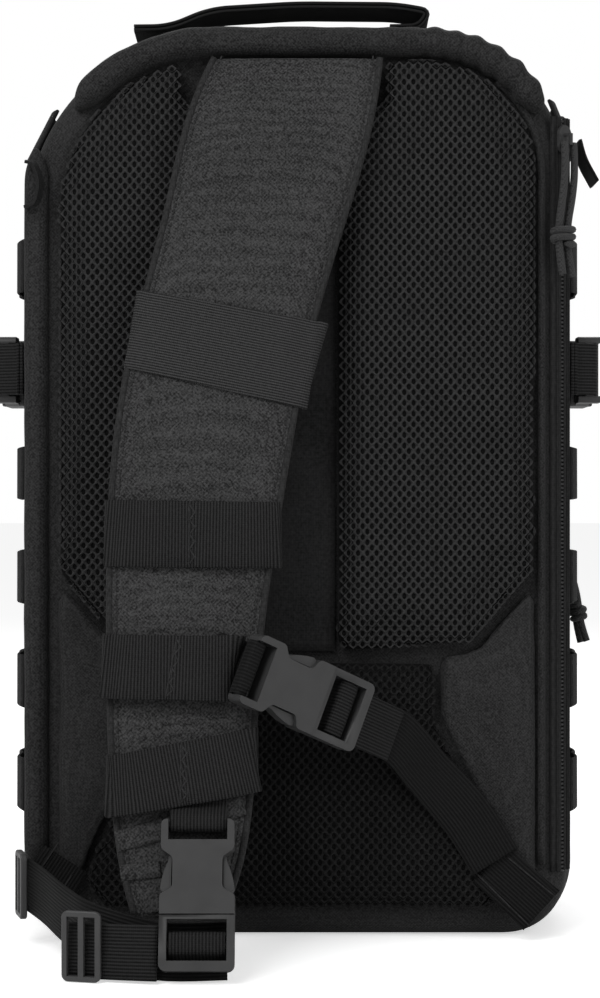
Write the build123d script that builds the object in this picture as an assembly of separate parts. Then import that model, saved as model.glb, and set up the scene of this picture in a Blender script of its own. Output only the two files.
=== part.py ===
from build123d import *
import math
import os

os.makedirs("parts", exist_ok=True)

# A one-shoulder trauma pack. X runs across it, Y from the wearer to the front, Z up from the floor.
# Depths are measured from the outside of the back panel: negative towards the wearer.

# Pack body
pack_width = 262.0
pack_height = 437.0
left_corner_radius = 90.0
right_corner_radius = 70.0
base_corner_radius = 30.0
back_rounding = 14.0
wall = 3.5
compartment_depth = 102.0
side_bulge = 6.0
zip_band = 12.0
door_depth = 26.0
hinge_height = 72.0
hinge_gap = 1.5
seam_gap = 0.3

# Webbing
web_width = 25.0
web_thickness = 1.5
pals_width = 27.0
pals_thickness = 2.0
pals_pitch = 50.8

# Front pockets
pocket_depth = 30.0
lower_pocket = (84.0, 236.0)
upper_pocket = (250.0, 396.0)
pocket_side_margin = 16.0
pocket_rounding = 10.0
pocket_corner_radius = 14.0
pocket_zip_drop = 22.0

# Inside
frame_sheet_thickness = 1.6
frame_sheet_margin = 22.0
sleeve_depth = 12.0
divider_thickness = 2.0
elastic_band_length = 200.0
elastic_heights = (150.0, 290.0)

# Back padding
pad_thickness = 9.0
spine_thickness = 2.6
wing_thickness = 6.0
spine_left = -22.4
spine_right = 18.1
pad_rounding = 3.5

# Rolls, piping and handle
roll_height = 15.0
roll_depth = 24.0
edge_roll_diameter = 13.0
piping_diameter = 3.6
handle_thickness = 3.0

# Zips
zip_slot = 12.0
tape_width = 6.0
tape_thickness = 1.2
tape_gap = 1.6
rear_zip_bottom = 36.0
rear_zip_top = 391.0
slider_length = 14.0
slider_width = 9.0
slider_plate = 1.6
slider_post = 1.0
bail_height = 3.6
pull_tab_length = 22.0
pull_tab_width = 8.0
rear_slider_height = 384.0
main_slider_height = 186.0
cord_diameter = 3.6

# Shoulder strap
strap_thickness = 9.0
elastic_thickness = 1.2

# Side-release buckle, measured along its axis from the middle of the closed buckle
buckle_width = 33.0
buckle_thickness = 11.0
buckle_half_length = 33.0
mouth = 12.0
frame_thickness = 7.0
bar_thickness = 4.0
buckle_cavity_width = 25.0
buckle_cavity_height = 6.4
slot_width = 26.0
bar_depth = 3.5
sleeve_length = 11.0
slot_length = 5.5
arm_thickness = 5.0
buckle_clearance = 0.3
shoulder_length = 6.0
first_slot = 20.6
lower_buckle_at = (-43.6, -91.0, 37.0)
lower_buckle_lean = 17.0
cross_buckle_at = (2.7, -58.0, 122.9)
cross_buckle_slope = 20.0
cross_buckle_bend = 33.5
strap_lean = 12.4
side_buckle_height = 274.4
side_buckle_depth = 53.0
side_buckle_lift = 6.3

# Derived places
half_width = pack_width / 2
zip_plane = compartment_depth + zip_band / 2
door_near = compartment_depth + zip_band
door_far = door_near + door_depth
pocket_far = door_far + pocket_depth
lower_lean = math.radians(lower_buckle_lean)
buckle_reach = buckle_half_length * math.sin(lower_lean) + frame_thickness / 2 * math.cos(lower_lean)
front_reach = buckle_reach - lower_buckle_at[1]
rear_reach = pocket_far + 2 * seam_gap + tape_thickness + slider_plate + bail_height
back_y = (front_reach - rear_reach) / 2
left_arc = (-half_width + left_corner_radius, pack_height - left_corner_radius)
right_arc = (half_width - right_corner_radius, pack_height - right_corner_radius)


# Shapes used by several pieces

def slab(sketch, near, far):
    """Extrude an outline drawn in X and Z from one depth to another."""
    plane = Plane.XZ.offset(-(back_y + far))
    return extrude(plane * sketch, amount=far - near, dir=(0, -1, 0))


def pack_outline(inset, bulge=0.0):
    """The pack seen from the wearer's side, every edge moved in by the inset, the sides out by the bulge."""
    half = half_width + bulge - inset
    top = pack_height - inset
    corners = [(-half, inset), (half, inset), (half, top), (-half, top)]
    radii = [base_corner_radius, base_corner_radius, right_corner_radius, left_corner_radius]
    return make_face(FilletPolyline(*corners, radius=[r - inset for r in radii], close=True))


def rounded_polygon(points, radius):
    """A polygon in X and Z with all its corners rounded."""
    face = Polygon(*points, align=None)
    return fillet(face.vertices(), radius)


def softened(pad, rounding):
    """A sewn pad: the edges of its wearer's side are rounded."""
    near_face = pad.faces().sort_by(Axis.Y)[0]
    return fillet(near_face.edges(), rounding)


def above(height):
    """Everything higher than a level."""
    size = 2 * pack_height
    return Pos(0, 0, height + size / 2) * Box(size, size, size)


def block(x, depth, z):
    """A box from its limits in X, in depth and in Z."""
    size = (x[1] - x[0], depth[1] - depth[0], z[1] - z[0])
    middle = (sum(x) / 2, back_y + sum(depth) / 2, sum(z) / 2)
    return Pos(*middle) * Box(*size)


def ribbon(plane, points, radii, thickness, width):
    """Webbing that follows a path drawn in a plane, as wide as it is across that plane."""
    path = plane * FilletPolyline(*points, radius=radii)
    start = Plane(origin=path @ 0, x_dir=plane.z_dir, z_dir=path % 0)
    return sweep(start * Rectangle(width, thickness), path=path)


def twisted_ribbon(stations, thickness):
    """Webbing through stations of (middle, direction of travel, direction across, width)."""
    sections = []
    for middle, travel, across, width in stations:
        frame = Plane(origin=middle, x_dir=across, z_dir=travel)
        sections.append(frame * Rectangle(width, thickness))
    return loft(sections, ruled=True)


def cord(points, diameter):
    """A cord of straight runs joined by tangent arcs, each as large as its two runs allow."""
    places = [Vector(*p) for p in points]
    radii = []
    for before, corner, after in zip(places, places[1:], places[2:]):
        turn = math.radians((corner - before).get_angle(after - corner))
        shorter = min((corner - before).length, (after - corner).length)
        radii.append(0.45 * shorter / math.tan(turn / 2))
    print("cord radii", [round(r, 1) for r in radii])
    path = FilletPolyline(*places, radius=radii)
    start = Plane(origin=places[0], z_dir=places[1] - places[0])
    tube = sweep(start * Circle(diameter / 2), path=path)
    expected = math.pi * diameter**2 / 4 * path.length
    print("cord length", round(path.length, 1), "volume ratio", round(tube.volume / expected, 4))
    return tube


# The main compartment, open towards the door

bulge_middle = (back_rounding + compartment_depth) / 2
bulge_radius = ((compartment_depth - back_rounding) ** 2 / 4 + side_bulge**2) / (2 * side_bulge)


def flat_backed(inset):
    """The compartment with straight sides, moved in by the inset, its back edge rounded."""
    body = slab(pack_outline(inset), inset, compartment_depth)
    return fillet(body.faces().sort_by(Axis.Y)[0].edges(), back_rounding - inset)


def bulged(inset):
    """The compartment as it stands when it is packed: its sides bulge between their two seams."""
    levels = [(back_rounding, 0), (bulge_middle, side_bulge), (compartment_depth, 0)]
    sections = [Plane.XZ.offset(-(back_y + depth)) * pack_outline(inset, bulge) for depth, bulge in levels]
    return flat_backed(inset) + loft(sections)


tray = bulged(0) - bulged(wall)
panel_zone = slab(pack_outline(back_rounding + 1), -1, wall)

keep_out = flat_backed(-seam_gap)

nodes = {}
nodes["back_panel"] = tray & panel_zone
side_gusset = tray - panel_zone

# The rear compartment's zip runs down the rounded right edge, in a slot through the gusset
edge_axis = (half_width - back_rounding, back_y + back_rounding)
zip_length = rear_zip_top - rear_zip_bottom
zip_frame = Plane(
    origin=(edge_axis[0], edge_axis[1], rear_zip_bottom + zip_length / 2),
    x_dir=(1, 1, 0),
    z_dir=(1, -1, 0),
)
slot = zip_frame * Pos(0, 0, back_rounding) * Box(zip_slot, zip_length, 2 * back_rounding - 8)
nodes["side_gusset"] = side_gusset - slot

tape_middle = (tape_gap + tape_width) / 2
tapes = [
    zip_frame * Pos(side * tape_middle, 0, back_rounding + tape_thickness / 2 + seam_gap)
    * Box(tape_width, zip_length + 8, tape_thickness)
    for side in (-1, 1)
]
nodes["rear_zip_tape"] = Compound(children=tapes)

# The fixed lower part of the front, and the door above it
front_outer = slab(pack_outline(0), compartment_depth, door_far)
front_inner = slab(pack_outline(wall), compartment_depth - 1, door_far - wall)
front_half = front_outer - front_inner
nodes["front_base"] = front_half - above(hinge_height)
door_zone = above(hinge_height + hinge_gap)
door_shell = (front_half & door_zone) - block((-200, 200), (0, door_near), (0, 500))
nodes["door_shell"] = door_shell

zip_ring = slab(pack_outline(0.8), compartment_depth, door_near)
zip_ring -= slab(pack_outline(0.8 + tape_thickness), compartment_depth - 1, door_near + 1)
zip_ring &= above(hinge_height + hinge_gap)
rear_tape_far = zip_plane - tape_gap / 2
door_tape_near = zip_plane + tape_gap / 2
nodes["main_zip_tape_rear"] = zip_ring - block((-200, 200), (rear_tape_far, 200), (0, 500))
nodes["main_zip_tape_door"] = zip_ring - block((-200, 200), (0, door_tape_near), (0, 500))

# Inside: a stiff sheet, the wall of the rear sleeve, and elastic bands for supplies, lying flat
sheet_near = wall + seam_gap
sheet_far = sheet_near + frame_sheet_thickness
nodes["frame_sheet"] = slab(pack_outline(frame_sheet_margin), sheet_near, sheet_far)
divider_near = sheet_far + sleeve_depth
divider_far = divider_near + divider_thickness
nodes["divider_panel"] = slab(pack_outline(wall + seam_gap), divider_near, divider_far)

elastic_bands = []
for height in elastic_heights:
    band = Pos(0, height) * Rectangle(elastic_band_length, pals_width)
    elastic_bands.append(slab(band, divider_far + seam_gap, divider_far + seam_gap + web_thickness))
nodes["elastic_bands"] = Compound(children=elastic_bands)

# Back padding
pad_gap = 0.9
pad_inset = 16.5
pad_side = half_width - pad_inset
pad_top = pack_height - pad_inset
pad_bottom = 138.0
strap_notch = Pos(-6, pad_top) * Rectangle(98, 46)


def back_pad(points, radii):
    """One of the mesh pads, from its corners and their rounding, cut back where the strap starts."""
    face = make_face(FilletPolyline(*points, radius=radii, close=True)) - strap_notch
    return softened(slab(face, -pad_thickness, -seam_gap), pad_rounding)


nodes["back_pad_left"] = back_pad(
    [(spine_left - pad_gap, pad_bottom), (spine_left - pad_gap, pad_top), (-pad_side, pad_top),
     (-pad_side, 176), (-88, 147)],
    [5, 5, left_corner_radius - pad_inset, 10, 10])
nodes["back_pad_right"] = back_pad(
    [(spine_right + pad_gap, pad_bottom), (84, 142), (pad_side, 175), (pad_side, pad_top),
     (spine_right + pad_gap, pad_top)],
    [5, 10, 10, right_corner_radius - pad_inset, 5])
lumbar_points = [(-62, 133), (66, 133), (66, 104), (96, 43), (101, 27), (90, 15), (-90, 15),
                 (-101, 27), (-96, 43), (-66, 104)]
lumbar = slab(rounded_polygon(lumbar_points, 5), -pad_thickness, -seam_gap)
nodes["lumbar_pad"] = softened(lumbar, pad_rounding)

spine_top = pack_height - roll_height - 10
spine_outline = Polygon((spine_left, pad_bottom), (spine_right, pad_bottom), (spine_right, spine_top),
                        (spine_left, spine_top), align=None)
nodes["spine_panel"] = slab(spine_outline, -spine_thickness, -seam_gap)

wing_points = [(114, 171), (86, 139), (69, 135), (69, 106), (99, 43), (104, 29), (114, 29)]
wing = slab(rounded_polygon(wing_points, 3), -wing_thickness, -seam_gap)
nodes["wing_right"] = softened(wing, 2.0)
nodes["wing_left"] = mirror(nodes["wing_right"], Plane.YZ)

# The padded roll along the top seam, and the narrower one down the left edge
roll_inset = roll_height / 2 - 0.5
roll_top = pack_height - roll_inset
left_roll_radius = left_corner_radius - roll_inset
right_roll_radius = right_corner_radius - roll_inset
left_roll_end = 38.0
right_roll_end = 28.0


def on_arc(centre, radius, angle):
    """A point on a corner arc, from its angle above the horizontal."""
    turn = math.radians(angle)
    return (centre[0] + radius * math.cos(turn), centre[1] + radius * math.sin(turn))


roll_path = Wire([
    CenterArc(left_arc, left_roll_radius, 180 - left_roll_end, left_roll_end - 90),
    Line((left_arc[0], roll_top), (right_arc[0], roll_top)),
    CenterArc(right_arc, right_roll_radius, 90, right_roll_end - 90),
])
roll_start = on_arc(left_arc, left_roll_radius, 180 - left_roll_end)
roll_plane = Plane.XZ.offset(-back_y + 1.0)
start_turn = math.radians(90 - left_roll_end)
section_frame = Plane(
    origin=roll_plane.from_local_coords((roll_start[0], roll_start[1], 0)),
    x_dir=(0, 1, 0),
    z_dir=(math.cos(start_turn), 0, math.sin(start_turn)),
)
roll = sweep(section_frame * Ellipse(roll_depth / 2, roll_height / 2), path=roll_plane * roll_path)
nodes["top_roll"] = roll - keep_out

edge_x = -half_width + edge_roll_diameter / 2 - 1.5
edge_depth = -0.5
edge_roll = Pos(edge_x, back_y + edge_depth, base_corner_radius) * extrude(
    Circle(edge_roll_diameter / 2), amount=pack_height - left_corner_radius + 3)
edge_trim = slab(pack_outline(-1.5), -30, 30)
nodes["edge_roll_left"] = (edge_roll & edge_trim) - keep_out

piping_x = half_width - back_rounding + 0.3
piping = Pos(piping_x, back_y - seam_gap - piping_diameter / 2, base_corner_radius + 8) * extrude(
    Circle(piping_diameter / 2), amount=pack_height - right_corner_radius - base_corner_radius + 13)
nodes["edge_piping_right"] = piping

# Carry handle: a loop of doubled webbing on the top seam
handle_y = back_y + 20.0
handle_plane = Plane(origin=(0, handle_y, 0), x_dir=(1, 0, 0), z_dir=(0, -1, 0))
handle_base = pack_height + seam_gap + handle_thickness / 2
handle_points = [(-78, handle_base), (-60, handle_base), (-40, 450.5), (0, 454), (50, 453.3),
                 (66, 449), (58, handle_base), (46, handle_base)]
nodes["carry_handle"] = ribbon(handle_plane, handle_points, [14, 30, 200, 30, 5, 4],
                               handle_thickness, web_width)

# Shoulder strap: its outline seen from the wearer's side, and how far its back stands off
strap_left_edge = [(-39.9, 421.8), (-50.6, 395), (-61.8, 346), (-79.6, 271), (-86.7, 201),
                   (-86.5, 147), (-84, 90), (-76, 38), (-72, 25.5)]
strap_right_edge = [(-30.5, 32), (-25.3, 46.5), (-19.5, 90), (-15.9, 149), (-5.5, 220),
                    (9.7, 299), (32, 375), (40.4, 421.8)]
strap_stand_off = [(421.8, 3.4), (395, 11.0), (350, 19.0), (300, 26.0), (250, 32.0), (200, 38.0),
                   (150, 46.0), (100, 57.0), (60, 68.0), (24, 78.5)]


def strap_outline():
    """The strap, wide at the shoulder and tapering to its lower end."""
    left = Spline(*strap_left_edge)
    right = Spline(*strap_right_edge)
    return make_face(Curve() + [left, Line(left @ 1, right @ 0), right, Line(right @ 1, left @ 0)])


def strap_band(low, high):
    """The space between two heights above the back of the strap, all along it."""
    backs = [(back_y - stand - low, z) for z, stand in strap_stand_off]
    fronts = [(back_y - stand - high, z) for z, stand in strap_stand_off]
    back = Spline(*backs)
    front = Spline(*reversed(fronts))
    face = make_face(Curve() + [back, Line(back @ 1, front @ 0), front, Line(front @ 1, back @ 0)])
    return extrude(Plane.YZ * face, amount=pack_width / 2, both=True)


def strap_layer(outline, low, high):
    """A sewn layer of the strap, from its outline and its heights above the strap's back."""
    return strap_band(low, high) & slab(outline, -110, 0)


def strip(points):
    """A strip across the strap."""
    return Polygon(*points, align=None)


nodes["strap_pad"] = strap_layer(strap_outline(), 0, strap_thickness)
elastic_low = strap_thickness + seam_gap
elastic_points = [(-73.6, 308.4), (13.4, 292.7), (1.8, 253.2), (-79, 271.8)]
nodes["strap_elastic_band"] = strap_layer(strip(elastic_points), elastic_low,
                                          elastic_low + elastic_thickness)
row_flat = strap_thickness + seam_gap
row_raised = strap_thickness + 2 * web_thickness + 2.6
pals_rows = [
    (row_flat, [(-87.2, 210.5), (-8.7, 209.5), (-8.7, 179.3), (-87.2, 180.0)]),
    (row_raised, [(-87.0, 149.6), (-24.5, 148.6), (-33.5, 120.5), (-87.0, 121.0)]),
    (row_raised, [(-84.0, 95.9), (-19.0, 108.0), (-19.0, 80.2), (-84.0, 69.0)]),
]
nodes["strap_pals"] = Compound(children=[
    strap_layer(strip(row), low, low + pals_thickness) for low, row in pals_rows
])


# Side-release buckle: the feature that takes the most skill

def buckle_socket():
    """The socket: a flat tube with side windows, and a bar that the webbing loops around."""
    tail = buckle_half_length - slot_length - bar_depth
    body_outline = make_face(FilletPolyline(
        (-tail, -15.5), (mouth, -buckle_width / 2), (mouth, buckle_width / 2), (-tail, 15.5),
        radius=[3, 1, 1, 3], close=True))
    body = extrude(body_outline, amount=buckle_thickness / 2, both=True)
    rims = body.faces().sort_by(Axis.Z)
    body = fillet(rims[0].edges() + rims[-1].edges(), 1.8)
    frame_outline = make_face(FilletPolyline(
        (-buckle_half_length, -14.6), (-tail + 6, -15.2), (-tail + 6, 15.2), (-buckle_half_length, 14.6),
        radius=[4, 1, 1, 4], close=True))
    body += extrude(frame_outline, amount=frame_thickness / 2, both=True)
    slot_middle = -buckle_half_length + bar_depth + slot_length / 2
    body -= Pos(slot_middle, 0, 0) * Box(slot_length, slot_width, buckle_thickness)
    bar_middle = -buckle_half_length + bar_depth / 2
    relief = (frame_thickness - bar_thickness) / 2
    for side in (-1, 1):
        body -= Pos(bar_middle - 1, 0, side * (frame_thickness / 2)) * Box(
            bar_depth + 3, slot_width, 2 * relief)
    cavity_back = -21.0
    window_length = 18.0
    cavity_length = mouth + 1 - cavity_back
    body -= Pos(cavity_back + cavity_length / 2, 0, 0) * Box(
        cavity_length, buckle_cavity_width, buckle_cavity_height)
    for side in (-1, 1):
        body -= Pos(mouth - sleeve_length - window_length / 2, side * buckle_width / 2, 0) * Box(
            window_length, 10, buckle_cavity_height + 1)
        body -= Pos(-4, 0, side * buckle_thickness / 2) * extrude(
            SlotOverall(24, 9), amount=0.6, both=True)
    return body


def buckle_plug():
    """The plug: two barbed spring arms, a middle guide and a ladder-lock frame."""
    root = mouth + buckle_clearance
    shoulder_end = root + shoulder_length
    shoulder_outline = make_face(FilletPolyline(
        (root, -buckle_width / 2), (shoulder_end, -buckle_width / 2), (shoulder_end, buckle_width / 2),
        (root, buckle_width / 2), radius=[1, 2, 2, 1], close=True))
    body = extrude(shoulder_outline, amount=buckle_thickness / 2, both=True)
    rims = body.faces().sort_by(Axis.Z)
    body = fillet(rims[0].edges() + rims[-1].edges(), 1.8)
    frame_outline = make_face(FilletPolyline(
        (root + 2, -15.8), (buckle_half_length, -16.2), (buckle_half_length, 16.2), (root + 2, 15.8),
        radius=[1, 3, 3, 1], close=True))
    body += extrude(frame_outline, amount=frame_thickness / 2, both=True)
    for middle, length in ((first_slot, 4.4), (27.6, 5.2)):
        body -= Pos(middle, 0, 0) * Box(length, slot_width, buckle_thickness)
    relief = (frame_thickness - bar_thickness) / 2
    for side in (-1, 1):
        body -= Pos(26.5, 0, side * frame_thickness / 2) * Box(16, slot_width, 2 * relief)
    arm = [(root + 1, 6.8), (root + 1, 11.2), (0.6, 11.8), (-0.4, 14.9), (-12.5, 14.4), (-17.0, 11.2),
           (-18.6, 8.2), (-15.5, 8.0), (-4, 8.6)]
    arm_face = Polygon(*arm, align=None)
    arm_solid = extrude(arm_face, amount=arm_thickness / 2, both=True)
    body += arm_solid
    body += mirror(arm_solid, Plane.XZ)
    guide = Polygon((root + 1, -2.4), (root + 1, 2.4), (-15, 1.8), (-18, 0.8), (-18, -0.8), (-15, -1.8),
                    align=None)
    return body + extrude(guide, amount=arm_thickness / 2, both=True)


def side_view(frame):
    """The plane through a buckle's axis and its outward direction."""
    return Plane(origin=frame.origin, x_dir=frame.x_dir, z_dir=-frame.y_dir)


def socket_web(frame, tail_length, drop):
    """Webbing doubled around the socket's bar, dropping to lie on what is under the buckle."""
    start = -buckle_half_length - tail_length
    path = [(start, lap - drop), (-39.6, lap - drop), (-34.8, over_bar), (near_bar, over_bar),
            (near_bar, -over_bar), (-35.5, -over_bar), (-37.8, -lap - drop), (start, -lap - drop)]
    return ribbon(side_view(frame), path, [3, 3, 1, 1, 2, 2], web_thickness, web_width)


def plug_web(frame, tail_length):
    """Webbing over the ladder-lock's two bars, with its tail lying on the standing part."""
    low = web_thickness + 0.4 - web_drop
    path = [(fold_x, -3.4), (fold_x, over_bar), (34.5, over_bar), (43, low), (43 + tail_length, low)]
    return ribbon(side_view(frame), path, [1.5, 8, 8], web_thickness, web_width)


lap = web_thickness / 2 + 0.1
over_bar = bar_thickness / 2 + 0.2 + web_thickness / 2
near_bar = -buckle_half_length + bar_depth + 0.2 + web_thickness / 2
web_drop = frame_thickness / 2 + 0.6 + web_thickness / 2
fold_x = first_slot - 1.0
past_shoulder = mouth + buckle_clearance + shoulder_length + 1.0


def lean_plane(at, x_dir, z_dir):
    """A buckle's own frame: X along its axis towards the plug, Z outwards."""
    return Plane(origin=(at[0], back_y + at[1], at[2]), x_dir=x_dir, z_dir=z_dir)


lower_frame = lean_plane(lower_buckle_at, (0, -math.sin(lower_lean), -math.cos(lower_lean)),
                         (0, -math.cos(lower_lean), math.sin(lower_lean)))
slope = math.radians(cross_buckle_slope)
tilt = math.radians(strap_lean)
strap_down = Vector(0, -math.sin(tilt), -math.cos(tilt))
strap_out = Vector(0, -math.cos(tilt), math.sin(tilt))
tail_way = Vector(1, 0, 0) * math.cos(slope) + strap_down * math.sin(slope)
bend = math.radians(cross_buckle_bend)
cross_axis = tail_way * math.cos(bend) - strap_out * math.sin(bend)
cross_out = strap_out * math.cos(bend) + tail_way * math.sin(bend)
cross_frame = lean_plane(cross_buckle_at, cross_axis, cross_out)

socket = buckle_socket()
plug = buckle_plug()
nodes["lower_socket"] = lower_frame * socket
nodes["lower_plug"] = lower_frame * plug
nodes["cross_socket"] = cross_frame * socket
nodes["cross_plug"] = cross_frame * plug
nodes["cross_plug_web"] = plug_web(cross_frame, 14)


def in_frame(frame, x, y, z):
    """A point given in a buckle's own frame."""
    return frame.from_local_coords((x, y, z))


def way(frame, x, y, z):
    """A direction given in a buckle's own frame."""
    return frame.from_local_coords((x, y, z)) - frame.origin


# Webbing from the strap to the cross buckle's socket: around the bar, then flat under the row
strap_front_point = (-36.0, back_y - 56.8, 141.0)
sewn_length = 43.0
fold_place = -28.5


def cross_socket_webbing():
    """The doubled webbing, folded where it comes off the strap's face."""
    contact = cross_frame.to_local_coords(Vector(*strap_front_point))
    along = Vector(math.cos(bend), math.sin(bend))
    out = Vector(-math.sin(bend), math.cos(bend))
    middle = Vector(contact.X, contact.Z) + out * (2 * seam_gap + web_thickness + 0.7)
    fold = middle + along * ((fold_place - middle.X) / along.X)
    end = fold - along * sewn_length
    far_bar = -buckle_half_length - 0.2 - web_thickness / 2
    path = [end + out * lap, fold + out * lap, (far_bar, -2), (far_bar, over_bar),
            (near_bar, over_bar), (near_bar, -over_bar), fold + along - out * lap, end - out * lap]
    return ribbon(side_view(cross_frame), path, [2, 2, 1.2, 1.2, 3, 2], web_thickness, web_width)


nodes["cross_socket_web"] = cross_socket_webbing()

# Standing part of the cross webbing: straight under the plug, then twisting to the lower corner
corner_across = Vector(0.90, 0.05, 0.43).normalized()
cross_web_stations = [
    (in_frame(cross_frame, past_shoulder, 0, -web_drop), way(cross_frame, 1, 0, 0), way(cross_frame, 0, 1, 0),
     web_width),
    (in_frame(cross_frame, 62, 0, -web_drop), way(cross_frame, 1, 0, 0), way(cross_frame, 0, 1, 0),
     web_width),
    (in_frame(cross_frame, 84, -9, -web_drop - 1.2), way(cross_frame, 0.906, -0.423, 0),
     way(cross_frame, 0.423, 0.906, 0), web_width),
    (Vector(80, back_y - 13.4, 61), Vector(0.50, 0.06, -0.86), corner_across, web_width),
    (Vector(94, back_y - 12.9, 39), Vector(0.42, 0.02, -0.90), corner_across, web_width),
]
nodes["cross_web"] = twisted_ribbon(cross_web_stations, web_thickness)

# The lower buckle hangs from webbing sewn to the strap's face, under the lowest row
nodes["strap_end_web"] = socket_web(lower_frame, 22, 4.15)

# Its plug's webbing goes round the bar, and its tail runs left along the floor
lower_across = way(lower_frame, 1, 0, 0)
wrap_path = [(fold_x, -3.4), (fold_x, over_bar), (30, over_bar)]
wrap = ribbon(side_view(lower_frame), wrap_path, [1.5], web_thickness, web_width)
tail_stations = [
    (Vector(-60.7, back_y - 99.2, 13.2), Vector(-1, 0.1, 0), Vector(0, -0.2, -0.98), web_width - 1),
    (Vector(-80, back_y - 96, 13.2), Vector(-1, 0.2, 0), Vector(0, -0.1, -1), web_width - 1),
    (Vector(-100, back_y - 91, 13.2), Vector(-1, 0.3, 0), Vector(0, -0.1, -1), web_width - 1),
]
nodes["lower_plug_web"] = Compound(children=[wrap, twisted_ribbon(tail_stations, 2 * web_thickness)])

behind = buckle_thickness / 2 + seam_gap + web_thickness / 2
standing = [
    (in_frame(lower_frame, 23.5, 13, -behind), way(lower_frame, 0, -1, 0), lower_across, web_width),
    (in_frame(lower_frame, 23.5, -18, -behind), way(lower_frame, 0, -1, 0), lower_across, web_width),
    (Vector(-88, back_y - 87, 19), Vector(-0.8, 0.6, 0.1), Vector(0, -0.1, -1), web_width),
    (Vector(-104, back_y - 64, 23), Vector(-0.6, 0.8, 0.1), Vector(0, -0.05, -1), web_width),
    (Vector(-117, back_y - 38, 27), Vector(-0.4, 0.9, 0.1), Vector(0, 0, -1), web_width),
    (Vector(-127.2, back_y - 18, 29), Vector(-0.4, 0.9, 0), Vector(0, 0, -1), web_width),
]
nodes["lower_web"] = twisted_ribbon(standing, web_thickness)


def bar_frame(length, width, thickness, bars):
    """A flat plastic frame with cross bars, that webbing threads through."""
    plate = extrude(RectangleRounded(length, width, 3), amount=thickness / 2, both=True)
    plate = fillet(plate.faces().sort_by(Axis.Z)[0].edges(), 0.8)
    plate = fillet(plate.faces().sort_by(Axis.Z)[-1].edges(), 0.8)
    rail = 2.5
    pitch = (length - rail) / (bars - 1)
    for index in range(bars - 1):
        middle = -length / 2 + rail / 2 + (index + 0.5) * pitch
        plate -= Pos(middle, 0, 0) * Box(pitch - rail, width - 2 * rail, thickness * 2)
    return plate


keeper_frame = Plane(origin=(-94.0, back_y - 97.0, 15.8), x_dir=(1, -0.25, 0), z_dir=(-0.25, -1, 0))
nodes["web_keeper"] = keeper_frame * bar_frame(18, 31, 2.4, 3)
ladder_frame = Plane(origin=(-130.4, back_y - 17.5, 29), x_dir=(0.3, -1, 0), z_dir=(-1, -0.3, 0))
nodes["corner_ladder_left"] = ladder_frame * bar_frame(17, 31, 3.2, 3)

tab_thickness = 1.6
right_tab = Polygon((80.4, 33.5), (107.7, 5.7), (124.9, 24.9), (102.9, 42.1), align=None)
left_tab = Polygon((-114.8, 50.2), (-126, 34), (-118, 10), (-106.2, 28.7), align=None)
left_tab_back = edge_roll_diameter / 2 - edge_depth + seam_gap
nodes["corner_tabs"] = Compound(children=[
    slab(right_tab, -pad_thickness - seam_gap - tab_thickness, -pad_thickness - seam_gap),
    slab(left_tab, -left_tab_back - tab_thickness, -left_tab_back),
])


# Sides: webbing rows, and a compression strap with its buckle on each side

def both_sides(piece):
    """A piece on the right side and its mirror image on the left."""
    return [piece, mirror(piece, Plane.YZ)]


side_rows = [0, 2, 3, 4, 5]
row_near = back_rounding + 5
row_far = compartment_depth - 4


def draped(lift, thickness, width, depths, height):
    """Webbing around the right side's bulge, at a lift above it, between two depths."""
    low = bulge_radius + lift
    middle = (half_width + side_bulge - bulge_radius, back_y + bulge_middle)
    zone = Pos(half_width, back_y + sum(depths) / 2) * Rectangle(60, depths[1] - depths[0])
    ring = (Pos(*middle) * (Circle(low + thickness) - Circle(low))) & zone
    return Pos(0, 0, height - width / 2) * extrude(ring, amount=width)


row_solids = []
for row in side_rows:
    height = side_buckle_height + pals_pitch * (1 - row)
    row_solids += both_sides(draped(seam_gap, pals_thickness, pals_width, (row_near, row_far), height))
nodes["side_pals"] = Compound(children=row_solids)

side_frame = Plane(
    origin=(half_width + side_bulge + side_buckle_lift, back_y + side_buckle_depth, side_buckle_height),
    x_dir=(0, 1, 0), z_dir=(1, 0, 0))
standing_lift = side_buckle_lift - web_drop - web_thickness / 2
standing_near = side_buckle_depth + past_shoulder
side_standing = draped(standing_lift, web_thickness, web_width, (standing_near, row_far), side_buckle_height)
side_straps = both_sides(side_standing) + both_sides(socket_web(side_frame, 11, 4.45 + side_bulge - 1.5))
nodes["side_straps"] = Compound(children=side_straps)
nodes["side_sockets"] = Compound(children=both_sides(side_frame * socket))
side_plug = side_frame * plug
side_plug_web = plug_web(side_frame, 8)
nodes["side_plug_right"], nodes["side_plug_left"] = both_sides(side_plug)
nodes["side_plug_web_right"], nodes["side_plug_web_left"] = both_sides(side_plug_web)


# Straps over the top corners, with their loose ends

def arc_strip(centre, radius, first, last, near, far):
    """Webbing stretched over a corner of the pack, between two angles and two depths."""
    low = radius + seam_gap
    high = low + pals_thickness
    turn_first = math.radians(first)
    turn_last = math.radians(last)
    reach = 2 * high
    wedge = Polygon(
        (0, 0), (reach * math.cos(turn_first), reach * math.sin(turn_first)),
        (reach * math.cos(turn_last), reach * math.sin(turn_last)), align=None)
    ring = (Circle(high) - Circle(low)) & wedge
    return slab(Pos(centre[0], centre[1]) * ring, near, far)


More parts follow.
